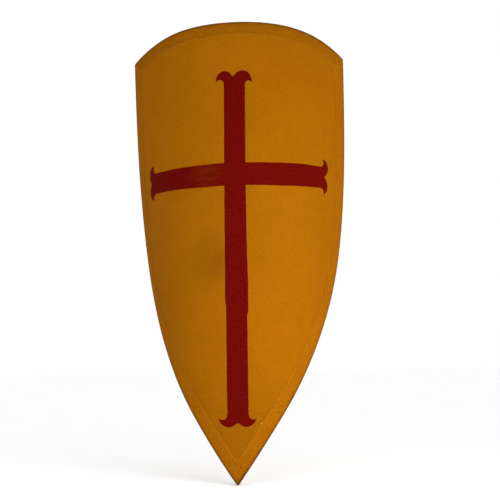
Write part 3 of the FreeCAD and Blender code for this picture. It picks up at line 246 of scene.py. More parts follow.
# =====================================================================================================
# Node materials
# =====================================================================================================
class Mat:
    def __init__(self, name):
        self.m = bpy.data.materials.new(name)
        self.m.use_nodes = True
        self.t = self.m.node_tree
        self.t.nodes.clear()
        self.out = self.t.nodes.new("ShaderNodeOutputMaterial")
        self.p = self.t.nodes.new("ShaderNodeBsdfPrincipled")
        self.t.links.new(self.p.outputs[0], self.out.inputs[0])

    def link(self, a, b):
        self.t.links.new(a, b)

    def put(self, sock, val):
        if isinstance(val, (int, float)):
            sock.default_value = val
        elif isinstance(val, (tuple, list)):
            sock.default_value = val
        else:
            self.link(val, sock)

    def attr(self, name):
        n = self.t.nodes.new("ShaderNodeAttribute")
        n.attribute_name = name
        return n.outputs["Vector"]

    def obj(self):
        return self.t.nodes.new("ShaderNodeTexCoord").outputs["Object"]

    def scale(self, vec, x, y=None, z=None):
        n = self.t.nodes.new("ShaderNodeVectorMath")
        n.operation = "MULTIPLY"
        self.link(vec, n.inputs[0])
        n.inputs[1].default_value = (x, x if y is None else y, x if z is None else z)
        return n.outputs[0]

    def sep(self, vec):
        n = self.t.nodes.new("ShaderNodeSeparateXYZ")
        self.link(vec, n.inputs[0])
        return n.outputs

    def math(self, op, a, b=None, c=None, clamp=False):
        n = self.t.nodes.new("ShaderNodeMath")
        n.operation = op
        n.use_clamp = clamp
        for i, v in enumerate((a, b, c)):
            if v is not None:
                self.put(n.inputs[i], v)
        return n.outputs[0]

    def noise(self, vec, scale, detail=3.0, rough=0.55, distort=0.0):
        n = self.t.nodes.new("ShaderNodeTexNoise")
        self.link(vec, n.inputs["Vector"])
        n.inputs["Scale"].default_value = scale
        n.inputs["Detail"].default_value = detail
        n.inputs["Roughness"].default_value = rough
        n.inputs["Distortion"].default_value = distort
        return n.outputs["Fac"]

    def voronoi(self, vec, scale, feature="F1", smooth=0.3, out="Distance"):
        n = self.t.nodes.new("ShaderNodeTexVoronoi")
        n.feature = feature
        self.link(vec, n.inputs["Vector"])
        n.inputs["Scale"].default_value = scale
        if feature == "SMOOTH_F1":
            n.inputs["Smoothness"].default_value = smooth
        return n.outputs[out]

    def ramp(self, fac, lo, hi, a=0.0, b=1.0):
        """fac from lo..hi to a..b, clamped and smooth."""
        n = self.t.nodes.new("ShaderNodeMapRange")
        n.interpolation_type = "SMOOTHSTEP"
        self.link(fac, n.inputs["Value"])
        n.inputs["From Min"].default_value = lo
        n.inputs["From Max"].default_value = hi
        n.inputs["To Min"].default_value = a
        n.inputs["To Max"].default_value = b
        return n.outputs["Result"]

    def mix(self, fac, a, b, kind="MIX"):
        n = self.t.nodes.new("ShaderNodeMix")
        n.data_type = "RGBA"
        n.blend_type = kind
        n.clamp_factor = True
        self.put(n.inputs[0], fac)
        for i, v in ((6, a), (7, b)):
            if isinstance(v, (tuple, list)):
                n.inputs[i].default_value = (v[0], v[1], v[2], 1.0)
            else:
                self.link(v, n.inputs[i])
        return n.outputs[2]

    def bump(self, height, dist, strength=1.0, normal=None):
        n = self.t.nodes.new("ShaderNodeBump")
        n.inputs["Distance"].default_value = dist
        n.inputs["Strength"].default_value = strength
        self.link(height, n.inputs["Height"])
        if normal is not None:
            self.link(normal, n.inputs["Normal"])
        return n.outputs[0]

    def weave(self, vec, pitch_x, pitch_y):
        """Height of a plain weave, 0 to 1, for a vector whose x and y run along the threads, in metres."""
        s = self.sep(vec)
        wob = self.noise(vec, 90.0, 2.0)
        x = self.math("ADD", s[0], self.math("MULTIPLY", wob, 0.0022))
        y = self.math("ADD", s[1], self.math("MULTIPLY", self.noise(self.scale(vec, 1.0, -1.0, 1.0), 70.0, 2.0), 0.0022))
        sx = self.math("SINE", self.math("MULTIPLY", x, math.pi / pitch_x))
        sy = self.math("SINE", self.math("MULTIPLY", y, math.pi / pitch_y))
        over = self.math("GREATER_THAN", self.math("MULTIPLY", sx, sy), 0.0)
        ax, ay = self.math("ABSOLUTE", sx), self.math("ABSOLUTE", sy)
        d = self.math("SUBTRACT", ax, ay)
        return self.math("MULTIPLY_ADD", d, over, ay)

    def set(self, **kw):
        names = {"color": "Base Color", "rough": "Roughness", "metal": "Metallic", "normal": "Normal", "spec": "Specular IOR Level",
                 "sheen": "Sheen Weight", "sheen_rough": "Sheen Roughness", "coat": "Coat Weight", "coat_rough": "Coat Roughness", "subsurface": "Subsurface Weight"}
        for k, v in kw.items():
            sock = self.p.inputs[names[k]]
            if k == "color" and isinstance(v, (tuple, list)):
                sock.default_value = (v[0], v[1], v[2], 1.0)
            else:
                self.put(sock, v)
        return self.m


OCHRE = (0.336, 0.1090, 0.0006)
OCHRE_DARK = (0.188, 0.0590, 0.0006)
OCHRE_LIGHT = (0.372, 0.1320, 0.0030)
RED = (0.1200, 0.0013, 0.0003)


def paint_canvas():
    """Matte mustard paint brushed over canvas. 'surf' is arc and height over the point, in metres."""
    k = Mat("painted_canvas")
    v = k.attr("surf")
    s = k.sep(v)
    broad = k.noise(v, 7.0, 3.0, 0.5)
    mid = k.noise(v, 42.0, 4.0, 0.6)
    streak = k.noise(k.scale(v, 150.0, 9.0, 1.0), 1.0, 3.0, 0.6)
    cross_streak = k.noise(k.scale(v, 10.0, 120.0, 1.0), 1.0, 3.0, 0.6)
    fine = k.noise(v, 900.0, 2.0, 0.7)
    col = k.mix(k.ramp(broad, 0.32, 0.72, 0.0, 0.20), OCHRE, OCHRE_DARK)
    col = k.mix(k.ramp(mid, 0.35, 0.75, 0.0, 0.16), col, OCHRE_DARK)
    col = k.mix(k.ramp(streak, 0.45, 0.85, 0.0, 0.18), col, OCHRE_LIGHT)
    col = k.mix(k.ramp(cross_streak, 0.50, 0.85, 0.0, 0.12), col, OCHRE_DARK)
    # a soft dark patch left of the long arm of the cross
    dx = k.math("DIVIDE", k.math("ADD", s[0], 0.045), 0.038)
    dz = k.math("DIVIDE", k.math("SUBTRACT", s[1], 0.415), 0.056)
    rr = k.math("ADD", k.math("MULTIPLY", dx, dx), k.math("MULTIPLY", dz, dz))
    rr = k.math("ADD", rr, k.math("MULTIPLY", k.math("SUBTRACT", mid, 0.5), 1.4))
    col = k.mix(k.ramp(rr, -0.10, 1.70, 0.40, 0.0), col, (0.160, 0.0590, 0.0018))
    # its darkest part, close to the arm
    dx = k.math("DIVIDE", k.math("ADD", s[0], 0.030), 0.017)
    dz = k.math("DIVIDE", k.math("SUBTRACT", s[1], 0.401), 0.032)
    rr = k.math("ADD", k.math("MULTIPLY", dx, dx), k.math("MULTIPLY", dz, dz))
    rr = k.math("ADD", rr, k.math("MULTIPLY", k.math("SUBTRACT", mid, 0.5), 1.2))
    col = k.mix(k.ramp(rr, 0.0, 1.50, 0.32, 0.0), col, (0.150, 0.0560, 0.0016))
    # painted shade against the rim binding, mixed with dirt: the canvas darkens towards the binding's edge
    rim = k.sep(k.attr("rim"))[0]
    near_rim_dark = k.math("MULTIPLY", k.ramp(rim, 0.0, 0.012, 1.0, 0.0), k.ramp(mid, 0.30, 0.70, 0.15, 0.75))
    col = k.mix(k.math("MULTIPLY", near_rim_dark, 0.10), col, (0.150, 0.0500, 0.0015))
    # painted highlight: a pale line on the canvas along the binding's edge
    col = k.mix(k.math("MULTIPLY", k.ramp(rim, 0.0008, 0.0026, 1.0, 0.0), k.ramp(mid, 0.34, 0.64, 0.03, 0.42)), col, (0.390, 0.1520, 0.0040))
    # the paint is darker towards the point
    col = k.mix(k.ramp(s[1], 0.060, 0.230, 0.21, 0.0), col, (0.100, 0.0340, 0.0006))
    # fine specks
    speck = k.voronoi(v, 260.0)
    sel = k.noise(v, 60.0, 1.0)
    col = k.mix(k.math("MULTIPLY", k.ramp(speck, 0.05, 0.11, 1.0, 0.0), k.ramp(sel, 0.62, 0.72)), col, (0.110, 0.0400, 0.0020))
    # mottle of the brushed paint, and the hollows between the threads of the canvas darkened: painted shade, and dark
    # paint left in them
    grain = k.noise(v, 300.0, 4.0, 0.75)
    col = k.mix(k.ramp(grain, 0.50, 0.30, 0.0, 0.62), col, (0.190, 0.0590, 0.0005))
    col = k.mix(k.ramp(grain, 0.50, 0.72, 0.0, 0.55), col, (0.420, 0.1420, 0.0018))
    w = k.weave(v, 0.00085, 0.00085)
    col = k.mix(k.math("MULTIPLY", k.math("SUBTRACT", 1.0, w), 0.42), col, (0.170, 0.0520, 0.0005))
    # one chip of pale ground by the foot of the cross
    cx = k.math("DIVIDE", k.math("SUBTRACT", s[0], 0.0447), 0.0010)
    cz = k.math("DIVIDE", k.math("SUBTRACT", s[1], 0.1111), 0.0013)
    chip = k.math("ADD", k.math("MULTIPLY", cx, cx), k.math("MULTIPLY", cz, cz))
    col = k.mix(k.ramp(chip, 0.5, 1.6, 0.45, 0.0), col, (0.62, 0.42, 0.16))
    h = k.math("MULTIPLY_ADD", w, 0.55, k.math("MULTIPLY", streak, 0.5))
    h = k.math("MULTIPLY_ADD", fine, 0.22, h)
    n = k.bump(h, 0.00030, 0.95)
    n = k.bump(grain, 0.00045, 0.45, n)
    n = k.bump(broad, 0.0012, 0.20, n)
    return k.set(color=col, rough=k.ramp(mid, 0.3, 0.7, 0.74, 0.90), normal=n, spec=0.018)


def paint_red():
    k = Mat("red_paint")
    v = k.attr("surf")
    s = k.sep(v)
    mid = k.noise(v, 38.0, 4.0, 0.6)
    broad = k.noise(v, 9.0, 2.0, 0.5)
    up = k.noise(k.scale(v, 260.0, 14.0, 1.0), 1.0, 3.0, 0.62)
    across = k.noise(k.scale(v, 14.0, 260.0, 1.0), 1.0, 3.0, 0.62)
    # the brush ran along each bar
    in_bar = k.math("MULTIPLY", k.ramp(k.math("ABSOLUTE", k.math("SUBTRACT", s[1], 0.5687)), 0.0195, 0.0225, 1.0, 0.0), k.ramp(k.math("ABSOLUTE", k.math("SUBTRACT", s[0], 0.0035)), 0.018, 0.023, 0.0, 1.0))
    streak = k.math("MULTIPLY_ADD", k.math("SUBTRACT", across, up), in_bar, up)
    col = k.mix(k.ramp(broad, 0.3, 0.75, 0.0, 0.35), RED, (0.085, 0.0010, 0.0004))
    col = k.mix(k.ramp(streak, 0.48, 0.82, 0.0, 0.45), col, (0.136, 0.0026, 0.0006))
    col = k.mix(k.ramp(streak, 0.50, 0.20, 0.0, 0.35), col, (0.070, 0.0008, 0.0004))
    col = k.mix(k.ramp(mid, 0.45, 0.8, 0.0, 0.25), col, (0.092, 0.0012, 0.0006))
    # painted highlight: a paler, browner patch on the left arm standing for a sheen of light on the paint
    dx = k.math("DIVIDE", k.math("ADD", s[0], 0.053), 0.040)
    dz = k.math("DIVIDE", k.math("SUBTRACT", s[1], 0.571), 0.026)
    rr = k.math("ADD", k.math("MULTIPLY", dx, dx), k.math("MULTIPLY", dz, dz))
    rr = k.math("ADD", rr, k.math("MULTIPLY", k.math("SUBTRACT", mid, 0.5), 1.6))
    painted_sheen = k.math("MULTIPLY", k.ramp(rr, 0.0, 1.2, 1.0, 0.0), k.ramp(across, 0.35, 0.70, 0.25, 0.85))
    col = k.mix(k.math("MULTIPLY", painted_sheen, 0.62), col, (0.150, 0.0200, 0.0014))
    edge = k.sep(k.attr("rim"))[0]
    col = k.mix(k.math("MULTIPLY", k.ramp(edge, 0.0, 0.0016, 0.8, 0.0), k.ramp(mid, 0.35, 0.65)), col, (0.065, 0.0012, 0.0005))
    # small losses of paint
    chip = k.voronoi(v, 190.0)
    sel = k.noise(v, 48.0, 1.0)
    col = k.mix(k.math("MULTIPLY", k.ramp(chip, 0.04, 0.10, 1.0, 0.0), k.ramp(sel, 0.64, 0.72)), col, (0.200, 0.0600, 0.0020))
    grain = k.noise(v, 260.0, 4.0, 0.78)
    col = k.mix(k.ramp(grain, 0.52, 0.30, 0.0, 0.85), col, (0.056, 0.0008, 0.0004))
    col = k.mix(k.ramp(grain, 0.50, 0.72, 0.0, 0.80), col, (0.190, 0.0075, 0.0006))
    w = k.weave(v, 0.00085, 0.00085)
    # the hollows between the threads darkened: painted shade, and dark paint left in them
    col = k.mix(k.math("MULTIPLY", k.math("SUBTRACT", 1.0, w), 0.40), col, (0.055, 0.0008, 0.0004))
    h = k.math("MULTIPLY_ADD", w, 0.45, k.math("MULTIPLY", streak, 0.8))
    n = k.bump(h, 0.00028, 0.95)
    n = k.bump(grain, 0.00045, 0.45, n)
    return k.set(color=col, rough=k.ramp(streak, 0.3, 0.7, 0.62, 0.78), normal=n, spec=0.020)


def paint_rim():
    """Thin leather binding, glued, painted with the face and rubbed at its edges, with a painted highlight along its
    lip and painted shade on its top lengths. 'strip' is (along, in from the edge, side).
    """
    k = Mat("rim_leather")
    v = k.attr("strip")
    s = k.sep(v)
    o = k.obj()
    broad = k.noise(o, 8.0, 3.0, 0.5)
    mid = k.noise(o, 48.0, 4.0, 0.6)
    fine = k.noise(o, 700.0, 3.0, 0.7)
    along = k.noise(k.scale(v, 14.0, 260.0, 1.0), 1.0, 3.0, 0.6)
    on_top = k.sep(k.attr("kind"))[0]
    # the top lengths are painted darker than the sides: painted shade, as less light reaches the top
    base = k.mix(on_top, (0.300, 0.0950, 0.0007), (0.246, 0.0790, 0.0006))
    col = k.mix(k.ramp(broad, 0.32, 0.72, 0.0, 0.18), base, OCHRE_DARK)
    col = k.mix(k.ramp(mid, 0.35, 0.75, 0.0, 0.20), col, OCHRE_DARK)
    col = k.mix(k.ramp(along, 0.50, 0.85, 0.0, 0.18), col, OCHRE_LIGHT)
    # paler lip along the inner edge of the flange: a painted highlight where the raised edge catches light, and rubbed
    # wear
    lip = k.math("MULTIPLY", k.ramp(s[1], 0.0226, 0.0250, 0.0, 1.0), k.ramp(mid, 0.34, 0.64, 0.18, 0.95))
    col = k.mix(k.math("MULTIPLY", lip, 0.56), col, (0.390, 0.1520, 0.0040))
    # dark, handled outer edge
    edge = k.math("ADD", s[1], k.math("MULTIPLY", k.math("SUBTRACT", mid, 0.5), 0.006))
    col = k.mix(k.ramp(edge, 0.0020, 0.0110, 0.30, 0.0), col, (0.120, 0.0340, 0.0006))
    rubbed = k.ramp(k.noise(o, 26.0, 4.0, 0.65), 0.38, 0.66, 1.0, 0.62)
    col = k.mix(k.math("MULTIPLY", k.ramp(edge, 0.0012, 0.0058, 0.92, 0.0), rubbed), col, (0.048, 0.0140, 0.0012))
    # the point itself is worn and soiled
    tip = k.math("ADD", k.sep(o)[2], k.math("MULTIPLY", k.math("SUBTRACT", mid, 0.5), 0.006))
    col = k.mix(k.ramp(tip, -0.5885, -0.5760, 0.80, 0.0), col, (0.052, 0.0180, 0.0030))
    scuff = k.voronoi(o, 120.0, "DISTANCE_TO_EDGE")
    sel = k.noise(o, 30.0, 2.0)
    col = k.mix(k.math("MULTIPLY", k.ramp(scuff, 0.0, 0.02, 0.6, 0.0), k.ramp(sel, 0.60, 0.72)), col, (0.130, 0.0450, 0.0030))
    grain = k.voronoi(o, 1100.0, "SMOOTH_F1", 0.5)
    mottle = k.noise(o, 280.0, 4.0, 0.75)
    col = k.mix(k.ramp(mottle, 0.50, 0.30, 0.0, 0.60), col, (0.165, 0.0510, 0.0005))
    col = k.mix(k.ramp(mottle, 0.50, 0.72, 0.0, 0.50), col, (0.385, 0.1300, 0.0018))
    col = k.mix(k.ramp(grain, 0.30, 0.70, 0.0, 0.22), col, (0.150, 0.0450, 0.0006))
    h = k.math("MULTIPLY_ADD", grain, 0.7, k.math("MULTIPLY", fine, 0.6))
    n = k.bump(h, 0.00026, 0.95)
    n = k.bump(mottle, 0.00040, 0.45, n)
    n = k.bump(mid, 0.0007, 0.30, n)
    return k.set(color=col, rough=k.ramp(mid, 0.3, 0.7, 0.70, 0.86), normal=n, spec=0.015)


def linen():
    k = Mat("linen")
    v = k.attr("surf")
    broad = k.noise(v, 6.0, 4.0, 0.6)
    mid = k.noise(v, 35.0, 4.0, 0.6)
    slub = k.noise(k.scale(v, 30.0, 700.0, 1.0), 1.0, 2.0, 0.6)
    slub2 = k.noise(k.scale(v, 700.0, 30.0, 1.0), 1.0, 2.0, 0.6)
    w = k.weave(v, 0.0011, 0.0011)
    col = k.mix(k.ramp(broad, 0.30, 0.75, 0.0, 0.45), (0.560, 0.455, 0.300), (0.390, 0.285, 0.165))
    col = k.mix(k.ramp(mid, 0.35, 0.80, 0.0, 0.30), col, (0.420, 0.320, 0.195))
    col = k.mix(k.ramp(slub, 0.52, 0.80, 0.0, 0.35), col, (0.640, 0.545, 0.385))
    col = k.mix(k.ramp(slub2, 0.52, 0.80, 0.0, 0.35), col, (0.350, 0.265, 0.165))
    # the hollows between the linen threads darkened: painted shade
    col = k.mix(k.math("MULTIPLY", k.math("SUBTRACT", 1.0, w), 0.42), col, (0.230, 0.165, 0.095))
    rim = k.sep(k.attr("rim"))[0]
    near_rim_dark = k.math("MULTIPLY", k.ramp(rim, 0.0, 0.030, 1.0, 0.0), k.ramp(mid, 0.25, 0.75, 0.35, 1.0))
    col = k.mix(k.math("MULTIPLY", near_rim_dark, 0.5), col, (0.150, 0.095, 0.045))
    h = k.math("ADD", w, k.math("MULTIPLY", slub, 0.8))
    n = k.bump(h, 0.00028, 0.9)
    return k.set(color=col, rough=0.93, normal=n, spec=0.15, sheen=0.15)


def leather(name, base, dark, light, half=0.017, crease=True, along_scale=1.0):
    """Vegetable-tanned leather. 'loc' is the piece's own (along, across, out), in metres."""
    k = Mat(name)
    v = k.attr("loc")
    s = k.sep(v)
    across = k.math("ABSOLUTE", s[1])
    broad = k.noise(v, 22.0, 4.0, 0.6)
    mid = k.noise(v, 110.0, 4.0, 0.65)
    fine = k.noise(v, 1500.0, 3.0, 0.7)
    fibre = k.noise(k.scale(v, 60.0, 420.0, 420.0), 1.0, 3.0, 0.6)
    col = k.mix(k.ramp(broad, 0.30, 0.72, 0.0, 0.7), base, dark)
    col = k.mix(k.ramp(mid, 0.45, 0.80, 0.0, 0.45), col, light)
    col = k.mix(k.ramp(fibre, 0.55, 0.85, 0.0, 0.25), col, light)
    grain = k.voronoi(v, 1300.0, "SMOOTH_F1", 0.45)
    col = k.mix(k.ramp(grain, 0.35, 0.75, 0.0, 0.35), col, dark)
    crack = k.voronoi(k.scale(v, 90.0, 30.0, 30.0), 1.0, "DISTANCE_TO_EDGE")
    sel = k.noise(v, 40.0, 2.0)
    worn = k.math("MULTIPLY", k.ramp(crack, 0.0, 0.035, 1.0, 0.0), k.ramp(sel, 0.56, 0.70))
    col = k.mix(k.math("MULTIPLY", worn, 0.6), col, tuple(c * 0.45 for c in dark))
    h = k.math("MULTIPLY_ADD", grain, -0.7, k.math("MULTIPLY", fine, 0.5))
    n = k.bump(h, 0.00016, 0.8)
    n = k.bump(worn, 0.00025, 0.6, n) if worn is not None else n
    if crease:
        # burnished edges and a tooled line just inside them
        edge = k.ramp(across, half - 0.0016, half - 0.0003, 0.0, 1.0)
        col = k.mix(k.math("MULTIPLY", edge, 0.75), col, tuple(c * 0.42 for c in dark))
        line = k.ramp(k.math("ABSOLUTE", k.math("SUBTRACT", across, half - 0.0034)), 0.00018, 0.00062, 1.0, 0.0)
        col = k.mix(k.math("MULTIPLY", line, 0.60), col, tuple(c * 0.45 for c in dark))
        n = k.bump(k.math("SUBTRACT", 1.0, line), 0.0005, 0.9, n)
    return k.set(color=col, rough=k.ramp(mid, 0.25, 0.75, 0.40, 0.62), normal=n, spec=0.24)


def metal(name, base, dark, light, rough=(0.26, 0.52), hammer=0.0, tarnish=0.5):
    k = Mat(name)
    v = k.obj()
    broad = k.noise(v, 60.0, 3.0, 0.6)
    mid = k.noise(v, 420.0, 4.0, 0.65)
    scratch = k.noise(k.scale(v, 3000.0, 260.0, 260.0), 1.0, 2.0, 0.6)
    col = k.mix(k.ramp(broad, 0.35, 0.70, 0.0, tarnish), base, dark)
    col = k.mix(k.ramp(mid, 0.50, 0.80, 0.0, tarnish), col, dark)
    col = k.mix(k.ramp(scratch, 0.55, 0.80, 0.0, 0.35), col, light)
    h = k.math("MULTIPLY_ADD", scratch, 0.25, mid)
    n = k.bump(h, 0.00007, 0.7)
    if hammer:
        dent = k.voronoi(v, 420.0, "SMOOTH_F1", 0.6)
        n = k.bump(dent, hammer, 0.6, n)
    return k.set(color=col, metal=1.0, rough=k.ramp(mid, 0.3, 0.75, rough[0], rough[1]), normal=n)


def iron(name):
    k = Mat(name)
    v = k.obj()
    broad = k.noise(v, 70.0, 3.0, 0.6)
    mid = k.noise(v, 500.0, 4.0, 0.7)
    dent = k.voronoi(v, 520.0, "SMOOTH_F1", 0.6)
    col = k.mix(k.ramp(broad, 0.30, 0.70, 0.0, 1.0), (0.115, 0.108, 0.100), (0.060, 0.052, 0.046))
    rust = k.ramp(mid, 0.56, 0.72)
    col = k.mix(k.math("MULTIPLY", rust, 0.55), col, (0.120, 0.046, 0.018))
    n = k.bump(mid, 0.00008, 0.7)
    n = k.bump(dent, 0.00030, 0.6, n)
    return k.set(color=col, metal=k.ramp(rust, 0.2, 0.8, 0.9, 0.35), rough=k.ramp(mid, 0.35, 0.7, 0.38, 0.72), normal=n)


def wood(name):
    k = Mat(name)
    v = k.obj()
    rings = k.noise(k.scale(v, 90.0, 90.0, 5.0), 1.0, 4.0, 0.6, 0.6)
    fine = k.noise(k.scale(v, 900.0, 900.0, 30.0), 1.0, 3.0, 0.6)
    col = k.mix(k.ramp(rings, 0.35, 0.70), (0.560, 0.390, 0.220), (0.360, 0.215, 0.100))
    col = k.mix(k.ramp(fine, 0.5, 0.8, 0.0, 0.4), col, (0.270, 0.155, 0.070))
    n = k.bump(fine, 0.0001, 0.6)
    return k.set(color=col, rough=0.72, normal=n, spec=0.3)


def felt(name):
    k = Mat(name)
    v = k.obj()
    a = k.noise(v, 500.0, 4.0, 0.7, 1.0)
    col = k.mix(k.ramp(a, 0.3, 0.7), (0.300, 0.265, 0.215), (0.180, 0.155, 0.120))
    return k.set(color=col, rough=0.95, normal=k.bump(a, 0.0006, 0.9), sheen=0.3)


def thread(name):
    k = Mat(name)
    v = k.obj()
    a = k.noise(v, 1500.0, 3.0, 0.6)
    col = k.mix(k.ramp(a, 0.3, 0.7), (0.46, 0.36, 0.21), (0.30, 0.22, 0.12))
    return k.set(color=col, rough=0.8, normal=k.bump(a, 0.0002, 0.8), spec=0.25)


M_CANVAS, M_RED, M_RIM, M_LINEN = paint_canvas(), paint_red(), paint_rim(), linen()
M_STRAP = leather("strap_leather", (0.115, 0.047, 0.020), (0.050, 0.020, 0.009), (0.220, 0.105, 0.048), 0.017)
M_HAND = leather("hand_strap_leather", (0.115, 0.047, 0.020), (0.050, 0.020, 0.009), (0.230, 0.110, 0.050), 0.016)
M_TAB = leather("tab_leather", (0.110, 0.045, 0.019), (0.048, 0.019, 0.009), (0.210, 0.100, 0.046), 0.014)
M_KEEPER = leather("keeper_leather", (0.095, 0.038, 0.016), (0.042, 0.017, 0.008), (0.190, 0.090, 0.042), 0.0045, crease=False)
M_PAD = leather("pad_leather", (0.200, 0.092, 0.038), (0.110, 0.047, 0.020), (0.320, 0.170, 0.080), 0.09, crease=False)
M_BRASS = metal("aged_brass", (0.520, 0.340, 0.120), (0.170, 0.098, 0.036), (0.720, 0.520, 0.240), (0.24, 0.50), 0.00012, 0.65)
M_TACK = metal("tack_brass", (0.540, 0.350, 0.125), (0.150, 0.085, 0.032), (0.760, 0.560, 0.260), (0.26, 0.52), 0.00020, 0.75)
M_IRON, M_WOOD, M_FELT, M_THREAD = iron("iron_fittings"), wood("board_wood"), felt("felt"), thread("linen_thread")


# =====================================================================================================
# Canvas face and linen back
# =====================================================================================================
def relief(s, z):
    """Slow unevenness of the cloth over the board, in millimetres."""
    return 0.16 * wave(s / 55.0, z / 70.0, 0.0, 1) + 0.07 * wave(s / 21.0, z / 26.0, 0.0, 2)


def rim_distance(s, z):
    """Rough distance in from the outline."""
    w, k = half_arc(min(max(z, 0.0), 774.0))
    side = (w - abs(s)) / math.sqrt(1 + k * k)
    ks = crown_slope(s)
    top = (crown(s) - z) / math.sqrt(1 + ks * ks)
    return min(side, top)


def board_sheet(inset, o_front, o_back, rows, cols, bumps):
    left, right = corner_exact(inset, -1)[0], corner_exact(inset, 1)[0]
    (s_l, z_l), (s_r, z_r) = side_in(left, inset), side_in(right, inset)
    zt = root(lambda q: side_in(q, inset)[0] - 2.0, 0.5, 60.0)
    z_b = side_in(zt, inset)[1]
    across = []
    for j in range(cols + 1):
        u = -1 + 2 * j / cols
        t = (1 + u) / 2
        z_c = z_l + (z_r - z_l) * t
        across.append((u, t, top_height_at(u * (s_l + (s_r - s_l) * t), inset) - z_c, z_c))
    S = np.zeros((rows + 1, cols + 1))
    Z = np.zeros_like(S)
    for i in range(rows + 1):
        v = i / rows
        k = 0.35 * v + 0.65 * v**1.25 if v < 1 else 1.0
        (sa, za), (sb, zb) = side_in(zt + (left - zt) * k, inset), side_in(zt + (right - zt) * k, inset)
        for j, (u, t, rise, z_c) in enumerate(across):
            z = za + (zb - za) * t
            S[i, j] = u * (sa + (sb - sa) * t)
            Z[i, j] = z + rise * ((z - z_b) / (z_c - z_b)) ** 2
    D = np.zeros_like(S)
    for i in range(rows + 1):
        for j in range(cols + 1):
            D[i, j] = bumps(S[i, j], Z[i, j])
    front = on_board(S, Z, o_front + D)
    back = on_board(S, Z, o_back + 0 * D)
    R = np.array([[rim_distance(S[i, j], Z[i, j]) for j in range(cols + 1)] for i in range(rows + 1)])
    return S, Z, front, back, R


# the face's own depth is measured inwards, so a bump outwards is negative
S, Z, front, back, RIM = board_sheet(3.3, 0.0, 0.7, 200, 120, lambda s, z: 0.12 - relief(s, z) * 0.5)
verts, faces = closed_sheet(front, back)
surf = np.stack([S, Z, 0 * S], -1).reshape(-1, 3) * MM
rimv = np.stack([RIM - 25.9, 0 * S, 0 * S], -1).reshape(-1, 3) * MM
canvas = make("face_canvas", row(verts), faces, "board", M_CANVAS,
              {"surf": np.concatenate([surf, surf]), "rim": np.concatenate([rimv, rimv])}, ("canvas_facing",))

S, Z, front, back, RIM = board_sheet(3.3, 9.4, BACK, 200, 120, lambda s, z: 0.0)
bump = np.array([[0.30 * wave(s / 40.0, z / 55.0, 0, 5) + 0.12 * wave(s / 13.0, z / 16.0, 0, 6) for s, z in zip(a, b)] for a, b in zip(S, Z)])
back = on_board(S, Z, BACK - 0.10 + bump * 0.35)
verts, faces = closed_sheet(front, back)
surf = np.stack([S, Z, 0 * S], -1).reshape(-1, 3) * MM
rimv = np.stack([RIM - 25.9, 0 * S, 0 * S], -1).reshape(-1, 3) * MM
lining = make("lining_linen", row(verts), faces, "board", M_LINEN,
              {"surf": np.concatenate([surf, surf]), "rim": np.concatenate([rimv, rimv])}, ("back_lining",))

# =====================================================================================================
# The painted cross
# =====================================================================================================
TOP_LEFT = [(-14.8, 738.0), (-15.6, 743.8), (-18.3, 747.6), (-22.5, 748.8), (-26.2, 747.8), (-29.6, 744.6)]
TOP_LOBE_L = [(-29.6, 744.6), (-29.3, 751.2), (-27.3, 757.0), (-23.1, 761.9), (-18.1, 765.0), (-13.4, 765.8), (-7.5, 764.4), (-2.5, 760.6), (0.8, 756.6), (3.2, 754.8)]
TOP_LOBE_R = [(3.2, 754.8), (6.3, 758.3), (11.3, 763.0), (17.5, 765.5), (23.1, 765.6), (28.8, 763.6), (33.2, 759.3), (36.4, 753.2), (38.1, 747.5), (38.4, 742.0)]
TOP_RIGHT = [(38.4, 742.0), (35.2, 744.6), (31.9, 745.9), (28.7, 745.2), (26.4, 743.0), (25.2, 737.6)]
RIGHT_TOP = [(174.0, 588.6), (179.3, 589.3), (182.7, 592.6), (183.2, 597.0), (181.8, 600.0), (179.6, 602.4)]
RIGHT_LOBE_T = [(179.6, 602.4), (185.7, 601.6), (190.2, 598.6), (193.7, 592.9), (195.3, 586.0), (194.4, 580.0), (191.4, 575.0), (188.2, 571.5), (185.8, 569.2)]
RIGHT_LOBE_B = [(185.8, 569.2), (188.8, 565.6), (191.6, 561.2), (193.7, 555.2), (193.9, 549.0), (192.1, 542.8), (188.5, 538.4), (183.0, 535.4)]
RIGHT_BOT = [(183.0, 535.4), (184.4, 539.6), (182.9, 543.6), (179.3, 546.7), (173.6, 548.0)]
FOOT_RIGHT = [(21.7, 130.0), (22.3, 125.0), (23.9, 121.8), (27.5, 119.4), (31.7, 118.7), (36.0, 120.6)]
FOOT_LOBE_R = [(36.0, 120.6), (33.3, 114.4), (29.8, 110.4), (23.9, 106.9), (17.3, 105.5), (10.3, 107.2), (5.7, 110.4), (3.0, 113.0)]
FOOT_LOBE_L = [(3.0, 113.0), (-2.4, 110.0), (-7.4, 106.9), (-13.8, 105.0), (-20.0, 105.8), (-25.2, 108.1), (-30.0, 112.3), (-34.0, 121.2)]
FOOT_LEFT = [(-34.0, 121.2), (-30.6, 119.2), (-26.2, 118.5), (-21.9, 119.3), (-19.3, 121.6), (-18.0, 125.2), (-17.3, 130.0)]
LEFT_BOT = [(-173.0, 548.2), (-179.3, 547.0), (-182.3, 544.8), (-184.2, 540.8), (-183.0, 535.6)]
LEFT_LOBE_B = [(-183.0, 535.6), (-190.7, 538.4), (-194.4, 542.1), (-196.4, 547.2), (-196.9, 553.6), (-195.7, 560.6), (-193.2, 565.4), (-190.8, 568.8)]
LEFT_LOBE_T = [(-190.8, 568.8), (-193.2, 571.8), (-195.7, 575.4), (-196.9, 580.9), (-195.8, 589.3), (-192.4, 596.2), (-187.9, 600.2), (-179.8, 602.6)]
LEFT_TOP = [(-179.8, 602.6), (-181.6, 597.1), (-181.2, 592.7), (-179.6, 589.4), (-174.5, 587.7)]
